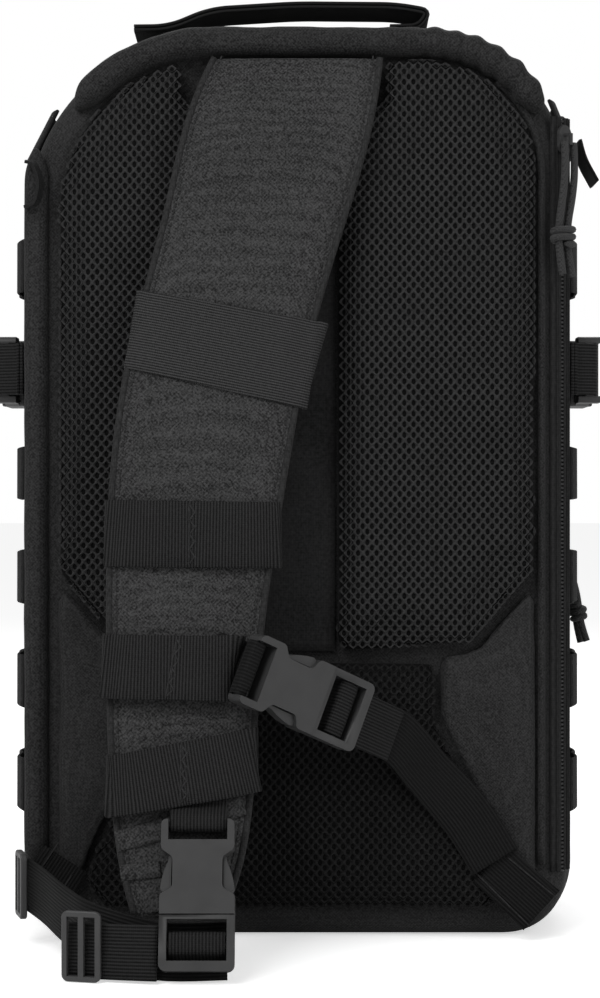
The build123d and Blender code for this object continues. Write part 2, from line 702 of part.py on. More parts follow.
flap_plane = Plane(origin=(0, back_y + 26, 0), x_dir=(1, 0, 0), z_dir=(0, -1, 0))
flap_x = half_width + side_bulge
flap_path = [(flap_x + 1.0, 386.2), (flap_x + 3.4, 377), (flap_x + 9.5, 366)]
flap = ribbon(flap_plane, flap_path, [12], web_thickness, web_width)
loop_end = block((-129, -121), (-9.4, -7.4), (351, 371))
nodes["top_straps"] = Compound(children=[
    arc_strip((left_arc[0] - side_bulge, left_arc[1]), left_corner_radius, 144, 161, back_rounding, row_far),
    arc_strip((right_arc[0] + side_bulge, right_arc[1]), right_corner_radius, 12, 33, row_near, row_far),
    flap,
    loop_end,
])


# Front pockets, each a shell that is open towards the door

def pocket(outline, cavity_outline):
    """A pocket shell with a slot for its zip across the front face."""
    near = door_far + seam_gap
    far = door_far + pocket_depth
    shell = slab(outline, near, far)
    shell = fillet(shell.faces().sort_by(Axis.Y)[-1].edges(), pocket_rounding)
    return shell - slab(cavity_outline, near - 1, far - wall)


def pocket_outline(limits, top_radii, margin):
    """A pocket seen from the front, with every edge moved in by the margin."""
    half = half_width - pocket_side_margin - margin
    low, high = limits[0] + margin, limits[1] - margin
    corners = [(-half, low), (half, low), (half, high), (-half, high)]
    radii = [pocket_corner_radius, pocket_corner_radius, *top_radii]
    return make_face(FilletPolyline(*corners, radius=[r - margin for r in radii], close=True))


pocket_face = door_far + pocket_depth
tape_solids = []
zip_half = 62.0
for name, limits, top_radii in (
        ("pocket_lower", lower_pocket, (pocket_corner_radius, pocket_corner_radius)),
        ("pocket_upper", upper_pocket, (52.0, 62.0))):
    shell = pocket(pocket_outline(limits, top_radii, 0), pocket_outline(limits, top_radii, wall))
    zip_height = limits[1] - pocket_zip_drop
    shell -= block((-zip_half, zip_half), (pocket_face - 8, pocket_face + 1),
                   (zip_height - zip_slot / 2, zip_height + zip_slot / 2))
    nodes[name] = shell
    for side in (-1, 1):
        edge = zip_height + side * tape_middle
        tape_solids.append(block(
            (-zip_half - 3, zip_half + 3), (pocket_face + seam_gap, pocket_face + seam_gap + tape_thickness),
            (edge - tape_width / 2, edge + tape_width / 2)))
nodes["pocket_zip_tapes"] = Compound(children=tape_solids)

front_rows = []
for height in (112.0, 112.0 + pals_pitch, 278.0, 278.0 + pals_pitch):
    front_rows.append(block(
        (-92, 92), (pocket_face + seam_gap, pocket_face + seam_gap + pals_thickness),
        (height - pals_width / 2, height + pals_width / 2)))
nodes["front_pals"] = Compound(children=front_rows)


# Zip sliders

def zip_slider(tab):
    """A slider around two tape edges: X along the zip, Z outwards, with an optional pull tab."""
    top = tape_thickness / 2 + seam_gap
    plate = SlotOverall(slider_length, slider_width)
    body = Pos(0, 0, top) * extrude(plate, amount=slider_plate)
    body += Pos(0, 0, -top - slider_plate) * extrude(plate, amount=slider_plate)
    body += Pos(3, 0, 0) * Box(4, slider_post, 2 * top + 1)
    bail = Pos(0, 0, top + slider_plate + bail_height / 2) * Box(5.6, 2, bail_height)
    bail -= Pos(0, 0, top + slider_plate + 1.2) * Box(3.4, 3, 2.4)
    body += bail
    if not tab:
        return body
    plate = Pos(-pull_tab_length / 2 + 1.1, 0) * RectangleRounded(pull_tab_length, pull_tab_width, 2.4)
    plate -= Pos(-3.1, 0) * Rectangle(4.2, 2.8)
    pull = Pos(0, 0, top + slider_plate + 0.6) * extrude(plate, amount=1.2)
    return Compound(children=[body, pull])


tape_radius = back_rounding + seam_gap + tape_thickness / 2
rear_slider_place = zip_frame * Pos(0, rear_slider_height - (rear_zip_bottom + zip_length / 2), tape_radius)
nodes["rear_zip_slider"] = rear_slider_place * Rot(0, 0, 90) * zip_slider(False)
tape_x = half_width - 0.8 - tape_thickness / 2
main_right = Plane(origin=(tape_x, back_y + zip_plane, main_slider_height), x_dir=(0, 0, 1), z_dir=(1, 0, 0))
main_left = Plane(origin=(-tape_x, back_y + zip_plane, main_slider_height), x_dir=(0, 0, 1), z_dir=(-1, 0, 0))
nodes["main_zip_slider_right"] = main_right * zip_slider(False)
nodes["main_zip_slider_left"] = main_left * zip_slider(True)
slider_depth = pocket_face + seam_gap + tape_thickness / 2
for name, limits in (("pocket_slider_lower", lower_pocket), ("pocket_slider_upper", upper_pocket)):
    place = Plane(origin=(-50, back_y + slider_depth, limits[1] - pocket_zip_drop),
                  x_dir=(-1, 0, 0), z_dir=(0, 1, 0))
    nodes[name] = place * zip_slider(True)


# Cord pulls: two strands through each slider's bail, knotted together, with short ends

def knot(strand_a, strand_b, index):
    """A double wrap around two strands, centred between two of their points."""
    a_low, a_high = Vector(*strand_a[index + 1]), Vector(*strand_a[index])
    b_low, b_high = Vector(*strand_b[index + 1]), Vector(*strand_b[index])
    middle = (a_low + a_high + b_low + b_high) * 0.25
    travel = (a_low + b_low) - (a_high + b_high)
    across = (a_low + a_high) - (b_low + b_high)
    spread = across.length / 2
    section = SlotOverall(spread + cord_diameter + 5.2, cord_diameter + 5.2)
    wrap_solid = extrude(section, amount=6, both=True)
    rims = wrap_solid.faces().sort_by(Axis.Z)
    wrap_solid = fillet(rims[0].edges() + rims[-1].edges(), 1.8)
    return Plane(origin=middle, x_dir=across, z_dir=travel) * wrap_solid


def cord_pull(strand_a, strand_b):
    """The two strands and the knot around them."""
    strands = [cord(points, cord_diameter) for points in (strand_a, strand_b)]
    bead = knot(strand_a, strand_b, 3)
    for points in (strand_a, strand_b):
        bead -= cord(points, cord_diameter + 0.2)
    return Compound(children=strands), bead


rear_strand_a = [(133.2, back_y + 2.5, 382), (133.4, back_y - 1.5, 370), (131.8, back_y - 5.5, 356),
                 (129, back_y - 7.5, 342), (128.8, back_y - 8, 330), (131.5, back_y - 7.5, 317)]
rear_strand_b = [(128.4, back_y - 2.2, 382), (128.4, back_y - 5.9, 370), (126.8, back_y - 9.2, 356),
                 (124.6, back_y - 11, 342), (124.4, back_y - 11.5, 330), (126.4, back_y - 11.2, 318)]
nodes["rear_zip_cord"], nodes["rear_zip_knot"] = cord_pull(rear_strand_a, rear_strand_b)

cord_y = back_y + zip_plane
main_strand_a = [(134.4, cord_y - 3, 184), (140, cord_y - 3, 180), (145.5, cord_y - 2.8, 170),
                 (148.5, cord_y - 2.6, 158), (149.5, cord_y - 2.6, 146), (153, cord_y - 2.9, 136)]
main_strand_b = [(134.4, cord_y + 3, 183.6), (139.8, cord_y + 3, 179), (144.5, cord_y + 2.8, 169),
                 (147, cord_y + 2.6, 157), (148, cord_y + 2.6, 145), (150.5, cord_y + 2.9, 135)]
nodes["main_zip_cord"], nodes["main_zip_knot"] = cord_pull(main_strand_a, main_strand_b)

for name, piece in nodes.items():
    export_step(piece, f"parts/{name}.step")
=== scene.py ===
import math
from contextlib import contextmanager

import bmesh
import bpy
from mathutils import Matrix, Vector, noise


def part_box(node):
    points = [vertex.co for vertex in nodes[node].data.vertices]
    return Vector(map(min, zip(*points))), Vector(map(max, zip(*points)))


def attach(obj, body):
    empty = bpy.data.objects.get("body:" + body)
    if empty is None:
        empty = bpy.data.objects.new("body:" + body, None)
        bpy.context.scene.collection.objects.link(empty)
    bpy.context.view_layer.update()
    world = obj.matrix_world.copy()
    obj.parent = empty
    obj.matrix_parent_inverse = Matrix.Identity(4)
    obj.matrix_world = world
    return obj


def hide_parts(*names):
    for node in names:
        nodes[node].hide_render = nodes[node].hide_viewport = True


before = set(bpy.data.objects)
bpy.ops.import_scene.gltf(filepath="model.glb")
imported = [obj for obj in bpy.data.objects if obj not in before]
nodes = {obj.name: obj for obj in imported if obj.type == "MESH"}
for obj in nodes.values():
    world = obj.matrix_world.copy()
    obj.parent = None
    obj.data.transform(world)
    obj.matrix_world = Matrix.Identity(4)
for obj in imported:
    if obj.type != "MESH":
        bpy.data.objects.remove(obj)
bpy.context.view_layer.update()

# The one-shoulder trauma pack, dressed. Sizes in this file are in millimetres and turn into
# metres in at() and new_piece(). X runs across the pack, Z up, and depth runs from the outside of the back
# panel towards the front pockets, so it is negative on the wearer's side.

MM = 0.001
back_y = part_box("back_panel")[0][1] / MM

half_width = 131.0
pack_height = 437.0
left_corner = 90.0
right_corner = 70.0
base_corner = 30.0
back_rounding = 14.0
compartment_depth = 102.0
hinge_height = 72.0
door_edge = hinge_height + 1.9
side_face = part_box("side_pals")[1][0] / MM - 2.0
side_bulge = side_face - 0.3 - half_width
web_width = 25.0
web_thickness = 1.5
pals_pitch = 50.8


def spot(x, depth, z):
    """A place on the pack, in millimetres, from its X, its depth and its height."""
    return Vector((x, back_y + depth, z))


def at(x, depth, z):
    """The same place in metres."""
    return spot(x, depth, z) * MM


def smooth(t):
    """An even ease from 0 to 1."""
    t = min(1.0, max(0.0, t))
    return t * t * (3 - 2 * t)


def span(first, last, count):
    """Values from first to last in a count of even steps."""
    return [first + (last - first) * i / count for i in range(count + 1)]


def box_of(node):
    """The low and high corners of a solid, in millimetres."""
    return [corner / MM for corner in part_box(node)]


def placed(name, data):
    """A new object of the scene."""
    thing = bpy.data.objects.new(name, data)
    bpy.context.scene.collection.objects.link(thing)
    return thing


class Tree:
    """A node tree, written a node at a time."""

    def __init__(self, tree):
        self.tree = tree

    def node(self, kind, inputs, **settings):
        """A new node's outputs, from its settings and the values or links for its inputs."""
        node = self.tree.nodes.new(kind)
        for key, value in settings.items():
            setattr(node, key, value)
        for socket, value in inputs.items():
            self.join(value, node.inputs[socket])
        return node.outputs

    def join(self, value, socket):
        if isinstance(value, bpy.types.NodeSocket):
            self.tree.links.new(value, socket)
        else:
            socket.default_value = value

    def math(self, operation, *values):
        return self.node("ShaderNodeMath", dict(enumerate(values)), operation=operation)[0]


def ripple(point, size, seed):
    """Smooth noise from -1 to 1 for creases, from a place in millimetres and a crease's size."""
    return noise.noise(Vector(point) / size + Vector((seed, 2.3 * seed, -seed)))


# Finishes

def grey(level):
    """A neutral colour from its display level, 0 to 255."""
    c = max(level, 1) / 255
    value = c / 12.92 if c <= 0.04045 else ((c + 0.055) / 1.055) ** 2.4
    return (value, value, value * 1.01, 1.0)


class Shading(Tree):
    """A material's node tree."""

    def __init__(self, name, level, roughness, specular, sheen=0.0):
        self.material = bpy.data.materials.new(name)
        self.material.use_nodes = True
        super().__init__(self.material.node_tree)
        self.shader = self.tree.nodes["Principled BSDF"].inputs
        for label, value in (("Base Color", grey(level)), ("Roughness", roughness), ("Sheen Weight", sheen),
                             ("Specular IOR Level", specular), ("Sheen Roughness", 0.5)):
            self.join(value, self.shader[label])

    def object_place(self, turn=0):
        """The place on the pack, in metres, turned about Y by an angle in degrees."""
        place = self.node("ShaderNodeTexCoord", {})["Object"]
        return self.node("ShaderNodeMapping", {"Vector": place, "Rotation": (0, math.radians(turn), 0)})[0]

    def split(self, vector):
        return self.node("ShaderNodeSeparateXYZ", {0: vector})

    def wave(self, value, pitch):
        """A wave of the given pitch in millimetres, from -1 to 1."""
        return self.math("SINE", self.math("MULTIPLY", value, 2 * math.pi / (pitch * MM)))

    def grain(self, place, size, detail):
        """Noise from 0 to 1 with grains of a size in millimetres."""
        scale = 1 / (size * MM)
        return self.node("ShaderNodeTexNoise", {"Scale": scale, "Detail": detail, "Vector": place})["Fac"]

    def tint(self, factor, low, high, start=0.0, stop=1.0):
        """The base colour between two display levels, as a factor goes from start to stop."""
        ramp = self.node("ShaderNodeValToRGB", {0: factor})[0]
        for element, level, position in zip(ramp.node.color_ramp.elements, (low, high), (start, stop)):
            element.color = grey(level)
            element.position = position
        self.join(ramp, self.shader["Base Color"])

    def rough(self, factor, low, high):
        self.join(self.math("MULTIPLY_ADD", factor, high - low, low), self.shader["Roughness"])

    def relief(self, height, depth, strength):
        """Bump from a height of 0 to 1 that stands for a depth in millimetres."""
        bump = self.node("ShaderNodeBump", {"Distance": depth * MM, "Strength": strength, "Height": height})
        self.join(bump[0], self.shader["Normal"])


def woven_nylon(name, level, pitch, contrast):
    """Coarse plain-woven nylon: a lattice of raised threads with uneven brightness."""
    s = Shading(name, level, 0.78, 0.12, 0.03)
    place = s.object_place(45)
    x, y, z = s.split(place)
    threads = s.math("ADD", s.wave(x, pitch), s.wave(z, pitch))
    threads = s.math("ADD", threads, s.wave(y, pitch))
    lattice = s.math("MULTIPLY_ADD", threads, 0.2, 0.5)
    uneven = s.grain(place, 1.0, 2.0)
    blotch = s.grain(place, 38.0, 2.0)
    mix = s.math("MULTIPLY_ADD", lattice, 0.12, s.math("MULTIPLY_ADD", uneven, 0.76,
                                                      s.math("MULTIPLY", blotch, 0.12)))
    s.tint(mix, level - contrast, level + contrast, 0.36, 0.64)
    s.rough(uneven, 0.68, 0.9)
    s.relief(s.math("ADD", lattice, s.math("MULTIPLY", uneven, 0.6)), 0.16, 0.8)
    return s.material


def ribbed_webbing(name, level, pitch, lengthwise, contrast):
    """Nylon webbing with raised ribs, across it or along it, and a finer cross thread."""
    s = Shading(name, level, 0.72, 0.12, 0.02)
    u, v = s.split(s.node("ShaderNodeUVMap", {})[0])[:2]
    main, cross = (v, u) if lengthwise else (u, v)
    ribs = s.math("MULTIPLY_ADD", s.wave(main, pitch), 0.5, 0.5)
    fine = s.math("MULTIPLY_ADD", s.wave(cross, 0.9), 0.5, 0.5)
    fuzz = s.grain(s.object_place(), 0.9, 3.0)
    height = s.math("MULTIPLY_ADD", fine, 0.22, ribs)
    shade = s.math("MULTIPLY_ADD", height, 0.5, s.math("MULTIPLY", fuzz, 0.4))
    s.tint(shade, level - contrast, level + contrast, 0.2, 0.8)
    s.relief(height, 0.28, 0.85)
    return s.material


def moulded_plastic(name, level, roughness):
    """Moulded nylon or acetal with a fine etched skin and slight handling wear."""
    s = Shading(name, level, roughness, 0.32)
    place = s.object_place()
    etched = s.grain(place, 0.35, 2.0)
    worn = s.grain(place, 9.0, 3.0)
    s.tint(worn, level - 6, level + 7)
    s.rough(worn, roughness - 0.07, roughness + 0.09)
    s.relief(etched, 0.05, 0.35)
    return s.material


def braided_cord(name, level):
    """Braided cord that hangs: strands that cross on a slant."""
    s = Shading(name, level, 0.75, 0.25, 0.08)
    place = s.object_place()
    x, y, z = s.split(place)
    side = s.math("MULTIPLY", s.math("ADD", x, y), 1.3)
    left = s.wave(s.math("ADD", z, side), 1.9)
    right = s.wave(s.math("SUBTRACT", z, side), 1.9)
    braid = s.math("MULTIPLY_ADD", s.math("MAXIMUM", left, right), 0.5, 0.5)
    shade = s.math("MULTIPLY_ADD", braid, 0.7, s.math("MULTIPLY", s.grain(place, 0.8, 3.0), 0.3))
    s.tint(shade, level - 16, level + 14)
    s.relief(braid, 0.35, 0.9)
    return s.material


def painted_metal(name, level):
    s = Shading(name, level, 0.38, 0.5)
    s.join(0.3, s.shader["Metallic"])
    worn = s.grain(s.object_place(), 2.5, 4.0)
    s.tint(worn, level - 12, level + 26)
    s.rough(worn, 0.3, 0.55)
    return s.material


def plain_fabric(name, level, pitch):
    """Fine smooth cloth, for linings, tapes and bindings."""
    s = Shading(name, level, 0.85, 0.1, 0.02)
    place = s.object_place()
    x, y, z = s.split(place)
    threads = s.math("ADD", s.math("ADD", s.wave(x, pitch), s.wave(y, pitch)), s.wave(z, pitch))
    fuzz = s.grain(place, 1.4, 3.0)
    height = s.math("MULTIPLY_ADD", threads, 0.15, s.math("MULTIPLY", fuzz, 0.8))
    s.tint(s.math("ADD", s.math("MULTIPLY", fuzz, 0.8), s.math("MULTIPLY", threads, 0.06)),
           level - 12, level + 12, 0.2, 0.7)
    s.relief(height, 0.1, 0.7)
    return s.material


strap_fabric = woven_nylon("strap fabric", 44, 1.25, 21)
pack_fabric = woven_nylon("pack fabric", 37, 1.1, 12)
roll_fabric = woven_nylon("roll fabric", 34, 1.1, 15)
lining_fabric = plain_fabric("lining", 42, 0.8)
# The foam's own dark colour taken down to near-black: painted shade inside the netting's holes.
foam_painted_shade = plain_fabric("foam under the netting", 3, 1.2)
net_thread = plain_fabric("netting thread", 46, 0.7)
# A darker copy of the netting thread: painted shade for the lumbar pad, which lies in shade under the strap.
net_thread_shaded = plain_fabric("lumbar netting thread", 26, 0.7)
spine_fabric = plain_fabric("spine cloth", 35, 0.8)
tape_fabric = plain_fabric("zip tape", 33, 0.9)
coil_nylon = moulded_plastic("zip coil", 40, 0.42)
rib_webbing = ribbed_webbing("row webbing", 21, 1.45, False, 22)
flat_webbing = ribbed_webbing("strap webbing", 13, 1.6, True, 11)
tail_webbing = ribbed_webbing("heavy webbing", 21, 1.5, True, 18)
ribbed_elastic = ribbed_webbing("ribbed elastic", 38, 1.25, True, 26)
buckle_nylon = moulded_plastic("buckle nylon", 52, 0.46)
keeper_nylon = moulded_plastic("keeper nylon", 62, 0.4)
slider_paint = painted_metal("slider paint", 46)
pull_cord = braided_cord("pull cord", 40)
thread_black = plain_fabric("sewing thread", 44, 0.5)
stiff_sheet = moulded_plastic("stiff sheet", 60, 0.55)


# Camera, lights, floor and the cords that hang from two of the sliders

camera = bpy.data.cameras.new("camera")
camera.lens = 78.8
camera.sensor_width = 36.0
camera.sensor_fit = "AUTO"
viewer = placed("camera", camera)
viewer.location = at(1.4, -1050.0, 211.0)
viewer.rotation_euler = (math.radians(90), 0, 0)
bpy.context.scene.camera = viewer
bpy.context.scene.view_settings.view_transform = "Standard"


def lamp(name, place, aim, size, power):
    light = bpy.data.lights.new(name, "AREA")
    light.shape = "RECTANGLE"
    light.size, light.size_y = size
    light.energy = power
    source = placed(name, light)
    source.location = place
    source.rotation_euler = (aim - place).to_track_quat("-Z", "Y").to_euler()


lamp("key", Vector((-0.75, back_y * MM - 1.15, 1.35)), at(0, 0, 230), (0.9, 0.9), 17.0)
lamp("fill", Vector((1.25, back_y * MM - 1.2, 0.8)), at(0, 0, 200), (1.2, 1.2), 8.0)
lamp("rim", Vector((0.2, back_y * MM + 1.3, 1.5)), at(0, 60, 250), (1.4, 0.8), 12.0)

plain_white = (1, 1, 1, 1)
world = bpy.data.worlds.new("room")
bpy.context.scene.world = world
world.use_nodes = True
sky = Tree(world.node_tree)
rays = sky.node("ShaderNodeLightPath", {})
white = sky.tree.nodes["Background"]
sky.join(plain_white, white.inputs["Color"])
sky.join(1.0, white.inputs["Strength"])
dim = sky.node("ShaderNodeBackground", {"Color": plain_white, "Strength": 0.42})
direct = sky.math("MAXIMUM", rays["Is Camera Ray"], rays["Is Transmission Ray"])
either = sky.node("ShaderNodeMixShader", {0: direct, 1: dim[0], 2: white.outputs[0]})
sky.join(either[0], sky.tree.nodes["World Output"].inputs["Surface"])

floor_lift = 0.54
floor_mesh = bpy.data.meshes.new("floor")
floor_mesh.from_pydata([(-12, -6, 0), (12, -6, 0), (12, 18, 0), (-12, 18, 0)], [], [(0, 1, 2, 3)])
floor = placed("floor", floor_mesh)
floor_paint = bpy.data.materials.new("pale floor")
floor_paint.use_nodes = True
paint = Tree(floor_paint.node_tree)
paint.tree.nodes.remove(paint.tree.nodes["Principled BSDF"])
diffuse = paint.node("ShaderNodeBsdfDiffuse", {"Color": (0.9, 0.9, 0.9, 1)})
lift = paint.math("MULTIPLY", paint.node("ShaderNodeLightPath", {})["Is Camera Ray"], floor_lift)
glow = paint.node("ShaderNodeEmission", {"Color": plain_white, "Strength": lift})
added = paint.node("ShaderNodeAddShader", {0: diffuse[0], 1: glow[0]})
paint.join(added[0], paint.tree.nodes["Material Output"].inputs["Surface"])
floor_mesh.materials.append(floor_paint)

cord_diameter = 3.6
zip_plane = 108.0
rear_strands = (
    [(133.2, 2.5, 382), (133.4, -1.5, 370), (131.8, -5.5, 356), (129, -7.5, 342), (128.8, -8, 330),
     (131.5, -7.5, 317)],
    [(128.4, -2.2, 382), (128.4, -5.9, 370), (126.8, -9.2, 356), (124.6, -11, 342), (124.4, -11.5, 330),
     (126.4, -11.2, 318)])
main_strands = (
    [(134.4, zip_plane - 3, 184), (140, zip_plane - 3, 180), (145.5, zip_plane - 2.8, 170),
     (148.5, zip_plane - 2.6, 158), (149.5, zip_plane - 2.6, 146), (153, zip_plane - 2.9, 136)],
    [(134.4, zip_plane + 3, 183.6), (139.8, zip_plane + 3, 179), (144.5, zip_plane + 2.8, 169),
     (147, zip_plane + 2.6, 157), (148, zip_plane + 2.6, 145), (150.5, zip_plane + 2.9, 135)])


def strand(name, route):
    """One strand of a pull, as a curve with a round section."""
    curve = bpy.data.curves.new(name, "CURVE")
    curve.dimensions = "3D"
    curve.bevel_depth = cord_diameter / 2 * MM
    curve.bevel_resolution = 5
    curve.resolution_u = 10
    curve.use_fill_caps = True
    spline = curve.splines.new("NURBS")
    spline.points.add(len(route) - 1)
    for point, place in zip(spline.points, route):
        point.co = (*at(*place), 1.0)
    spline.order_u = 3
    spline.use_endpoint_u = True
    curve.materials.append(pull_cord)
    return placed(name, curve)


pulls = [(pull, body, [(strand(f"{pull}_strand_{side}", route), route, length)
                       for side, route, length in zip("ab", routes, lengths)])
         for pull, body, routes, lengths in (("rear_zip", "rear_slider", rear_strands, (66.9, 65.4)),
                                             ("main_zip", "main_slider_right", main_strands, (53.1, 52.6)))]


# Meshes

def ring_faces(rows, count):
    """Faces that join rings of a count of points, each ring to the next."""
    pairs = [(j, (j + 1) % count) for j in range(count)]
    return [(i * count + j, i * count + k, (i + 1) * count + k, (i + 1) * count + j)
            for i in range(rows - 1) for j, k in pairs]


def end_faces(rows, count):
    """The faces that close the first and the last ring."""
    return [tuple(reversed(range(count))), tuple((rows - 1) * count + k for k in range(count))]


def net_faces(rows, columns):
    """Faces of an open net of points."""
    return [(i * columns + j, i * columns + j + 1, (i + 1) * columns + j + 1, (i + 1) * columns + j)
            for i in range(rows - 1) for j in range(columns - 1)]


def smoothed(mesh):
    mesh.polygons.foreach_set("use_smooth", [True] * len(mesh.polygons))


def new_piece(name, vertices, faces, finish, uvs=None):
    """A smooth-shaded piece from its points in millimetres and its faces, with its finish."""
    mesh = bpy.data.meshes.new(name)
    mesh.from_pydata([tuple(v * MM) for v in vertices], [], faces)
    mesh.validate()
    if uvs is not None:
        layer = mesh.uv_layers.new(name="strip")
        for loop in mesh.loops:
            layer.data[loop.index].uv = uvs[loop.vertex_index]
    smoothed(mesh)
    mesh.materials.append(finish)
    return placed(name, mesh)


@contextmanager
def edited(piece):
    """A piece's mesh, open for changes."""
    form = bmesh.new()
    form.from_mesh(piece.data)
    yield form
    form.to_mesh(piece.data)
    form.free()


def outward(piece):
    """Turn a closed piece's faces outwards."""
    with edited(piece) as form:
        bmesh.ops.recalc_face_normals(form, faces=form.faces)
    return piece


def stepped(piece, kind, **settings):
    """Add a modifier with its settings."""
    step = piece.modifiers.new(kind, kind)
    for key, value in settings.items():
        setattr(step, key, value)
    return piece


def rounded(piece):
    """Finish a piece with a subdivision surface."""
    return stepped(piece, "SUBSURF", levels=1, render_levels=1, use_limit_surface=False)


def dressed(piece, body, replaced=()):
    """Put a finished piece on its body and the solids that it stands for."""
    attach(piece, body)
    if replaced:
        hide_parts(*replaced)
    return piece


def flattened(piece):
    """Apply a piece's modifiers to its mesh."""
    view = bpy.context.evaluated_depsgraph_get()
    mesh = bpy.data.meshes.new_from_object(piece.evaluated_get(view))
    old = piece.data
    piece.modifiers.clear()
    piece.data = mesh
    bpy.data.meshes.remove(old)
    return piece


def walk(places):
    """Each place of a line, with the way ahead, the length so far and the steps to the nearer end."""
    last = len(places) - 1
    length = 0.0
    for i, place in enumerate(places):
        if i:
            length += (place - places[i - 1]).length
        ahead = places[min(i + 1, last)] - places[max(i - 1, 0)]
        yield place, ahead.normalized(), length, min(i, last - i)


def strip_piece(name, stations, finish, thickness=web_thickness, samples=1):
    """A strip of webbing through stations of (middle, direction across, width), closed all round."""
    centres = [Vector(s[0]) for s in stations]
    acrosses = [Vector(s[1]).normalized() for s in stations]
    widths = [s[2] for s in stations]
    rows = []
    for i in range(len(centres) - 1):
        p0, p1 = centres[max(i - 1, 0)], centres[i]
        p2, p3 = centres[i + 1], centres[min(i + 2, len(centres) - 1)]
        for k in range(samples):
            t = k / samples
            place = 0.5 * ((2 * p1) + (p2 - p0) * t + (2 * p0 - 5 * p1 + 4 * p2 - p3) * t * t
                           + (3 * p1 - p0 - 3 * p2 + p3) * t**3)
            across = acrosses[i].lerp(acrosses[i + 1], smooth(t)).normalized()
            rows.append((place, across, widths[i] + (widths[i + 1] - widths[i]) * smooth(t)))
    rows.append((centres[-1], acrosses[-1], widths[-1]))
    upper = [(-1.0, 0.55), (-0.965, 1.0), (-0.5, 1.0), (0.0, 1.0), (0.5, 1.0), (0.965, 1.0), (1.0, 0.55)]
    rim = [(-1.0, -0.55)] + upper + [(a, -b) for a, b in reversed(upper[1:])]
    vertices, uvs = [], []
    for (place, ahead, length, _), (_, across, wide) in zip(walk([row[0] for row in rows]), rows):
        across = (across - ahead * across.dot(ahead)).normalized()
        normal = across.cross(ahead).normalized()
        for a, b in rim:
            vertices.append(place + across * (a * wide / 2) + normal * (b * thickness / 2))
            uvs.append((length * MM, a * wide / 2 * MM))
    faces = ring_faces(len(rows), len(rim)) + end_faces(len(rows), len(rim))
    return outward(new_piece(name, vertices, faces, finish, uvs))


def joined(name, pieces):
    """Several pieces of one body as one piece."""
    form = bmesh.new()
    finishes = []
    for piece in pieces:
        slots = []
        for finish in piece.data.materials:
            if finish not in finishes:
                finishes.append(finish)
            slots.append(finishes.index(finish))
        before = len(form.faces)
        form.from_mesh(piece.data)
        form.faces.ensure_lookup_table()
        for face in form.faces[before:]:
            face.material_index = slots[face.material_index]
        bpy.data.objects.remove(piece)
    mesh = bpy.data.meshes.new(name)
    form.to_mesh(mesh)
    form.free()
    for finish in finishes:
        mesh.materials.append(finish)
    return placed(name, mesh)


# Geometry Nodes: what repeats along a path or over a surface

class Rule(Tree):
    """A Geometry Nodes tree with named inputs."""

    def __init__(self, name, inputs):
        super().__init__(bpy.data.node_groups.new(name, "GeometryNodeTree"))
        self.keys = {}
        for label, kind in [("Geometry", "Geometry")] + inputs:
            socket = self.tree.interface.new_socket(label, in_out="INPUT", socket_type="NodeSocket" + kind)
            self.keys[label] = socket.identifier
        self.tree.interface.new_socket("Geometry", in_out="OUTPUT", socket_type="NodeSocketGeometry")
        self.given = self.node("NodeGroupInput", {})

    def copies(self, points, part, turns):
        """End the tree with copies of a part on points, in the given finish."""
        source = self.node("GeometryNodeObjectInfo", {"Object": part})["Geometry"]
        copies = self.node("GeometryNodeInstanceOnPoints",
                           {"Points": points, "Instance": source, "Rotation": turns})
        real = self.node("GeometryNodeRealizeInstances", {"Geometry": copies[0]})
        done = self.node("GeometryNodeSetMaterial", {"Geometry": real[0], "Material": self.given["Finish"]})
        self.node("NodeGroupOutput", {0: done[0]})

    def run(self, carrier, name, values):
        """Evaluate the rule on a carrier object and return a plain mesh piece."""
        step = carrier.modifiers.new("rule", "NODES")
        step.node_group = self.tree
        for label, value in values.items():
            step[self.keys[label]] = value
        view = bpy.context.evaluated_depsgraph_get()
        mesh = bpy.data.meshes.new_from_object(carrier.evaluated_get(view))
        mesh.name = name
        carrier.modifiers.remove(step)
        return placed(name, mesh)


def row_rule():
    """Copies of a small part along edges, each laid along the edge and across a given direction."""
    rule = Rule("row along a path", [("Pitch", "Float"), ("Across", "Vector"), ("Part", "Object"),
                                     ("Finish", "Material")])
    line = rule.node("GeometryNodeMeshToCurve", {"Mesh": rule.given["Geometry"]})
    even = rule.node("GeometryNodeResampleCurve", {"Curve": line[0], "Length": rule.given["Pitch"]},
                     mode="LENGTH")
    tangent = rule.node("GeometryNodeInputTangent", {})
    lengthwise = rule.node("FunctionNodeAlignRotationToVector", {"Vector": tangent[0]}, axis="X")
    level = rule.node("FunctionNodeAlignRotationToVector",
                      {"Rotation": lengthwise[0], "Vector": rule.given["Across"]}, axis="Y", pivot_axis="X")
    rule.copies(even[0], rule.given["Part"], level[0])
    return rule


steepest = 0.42


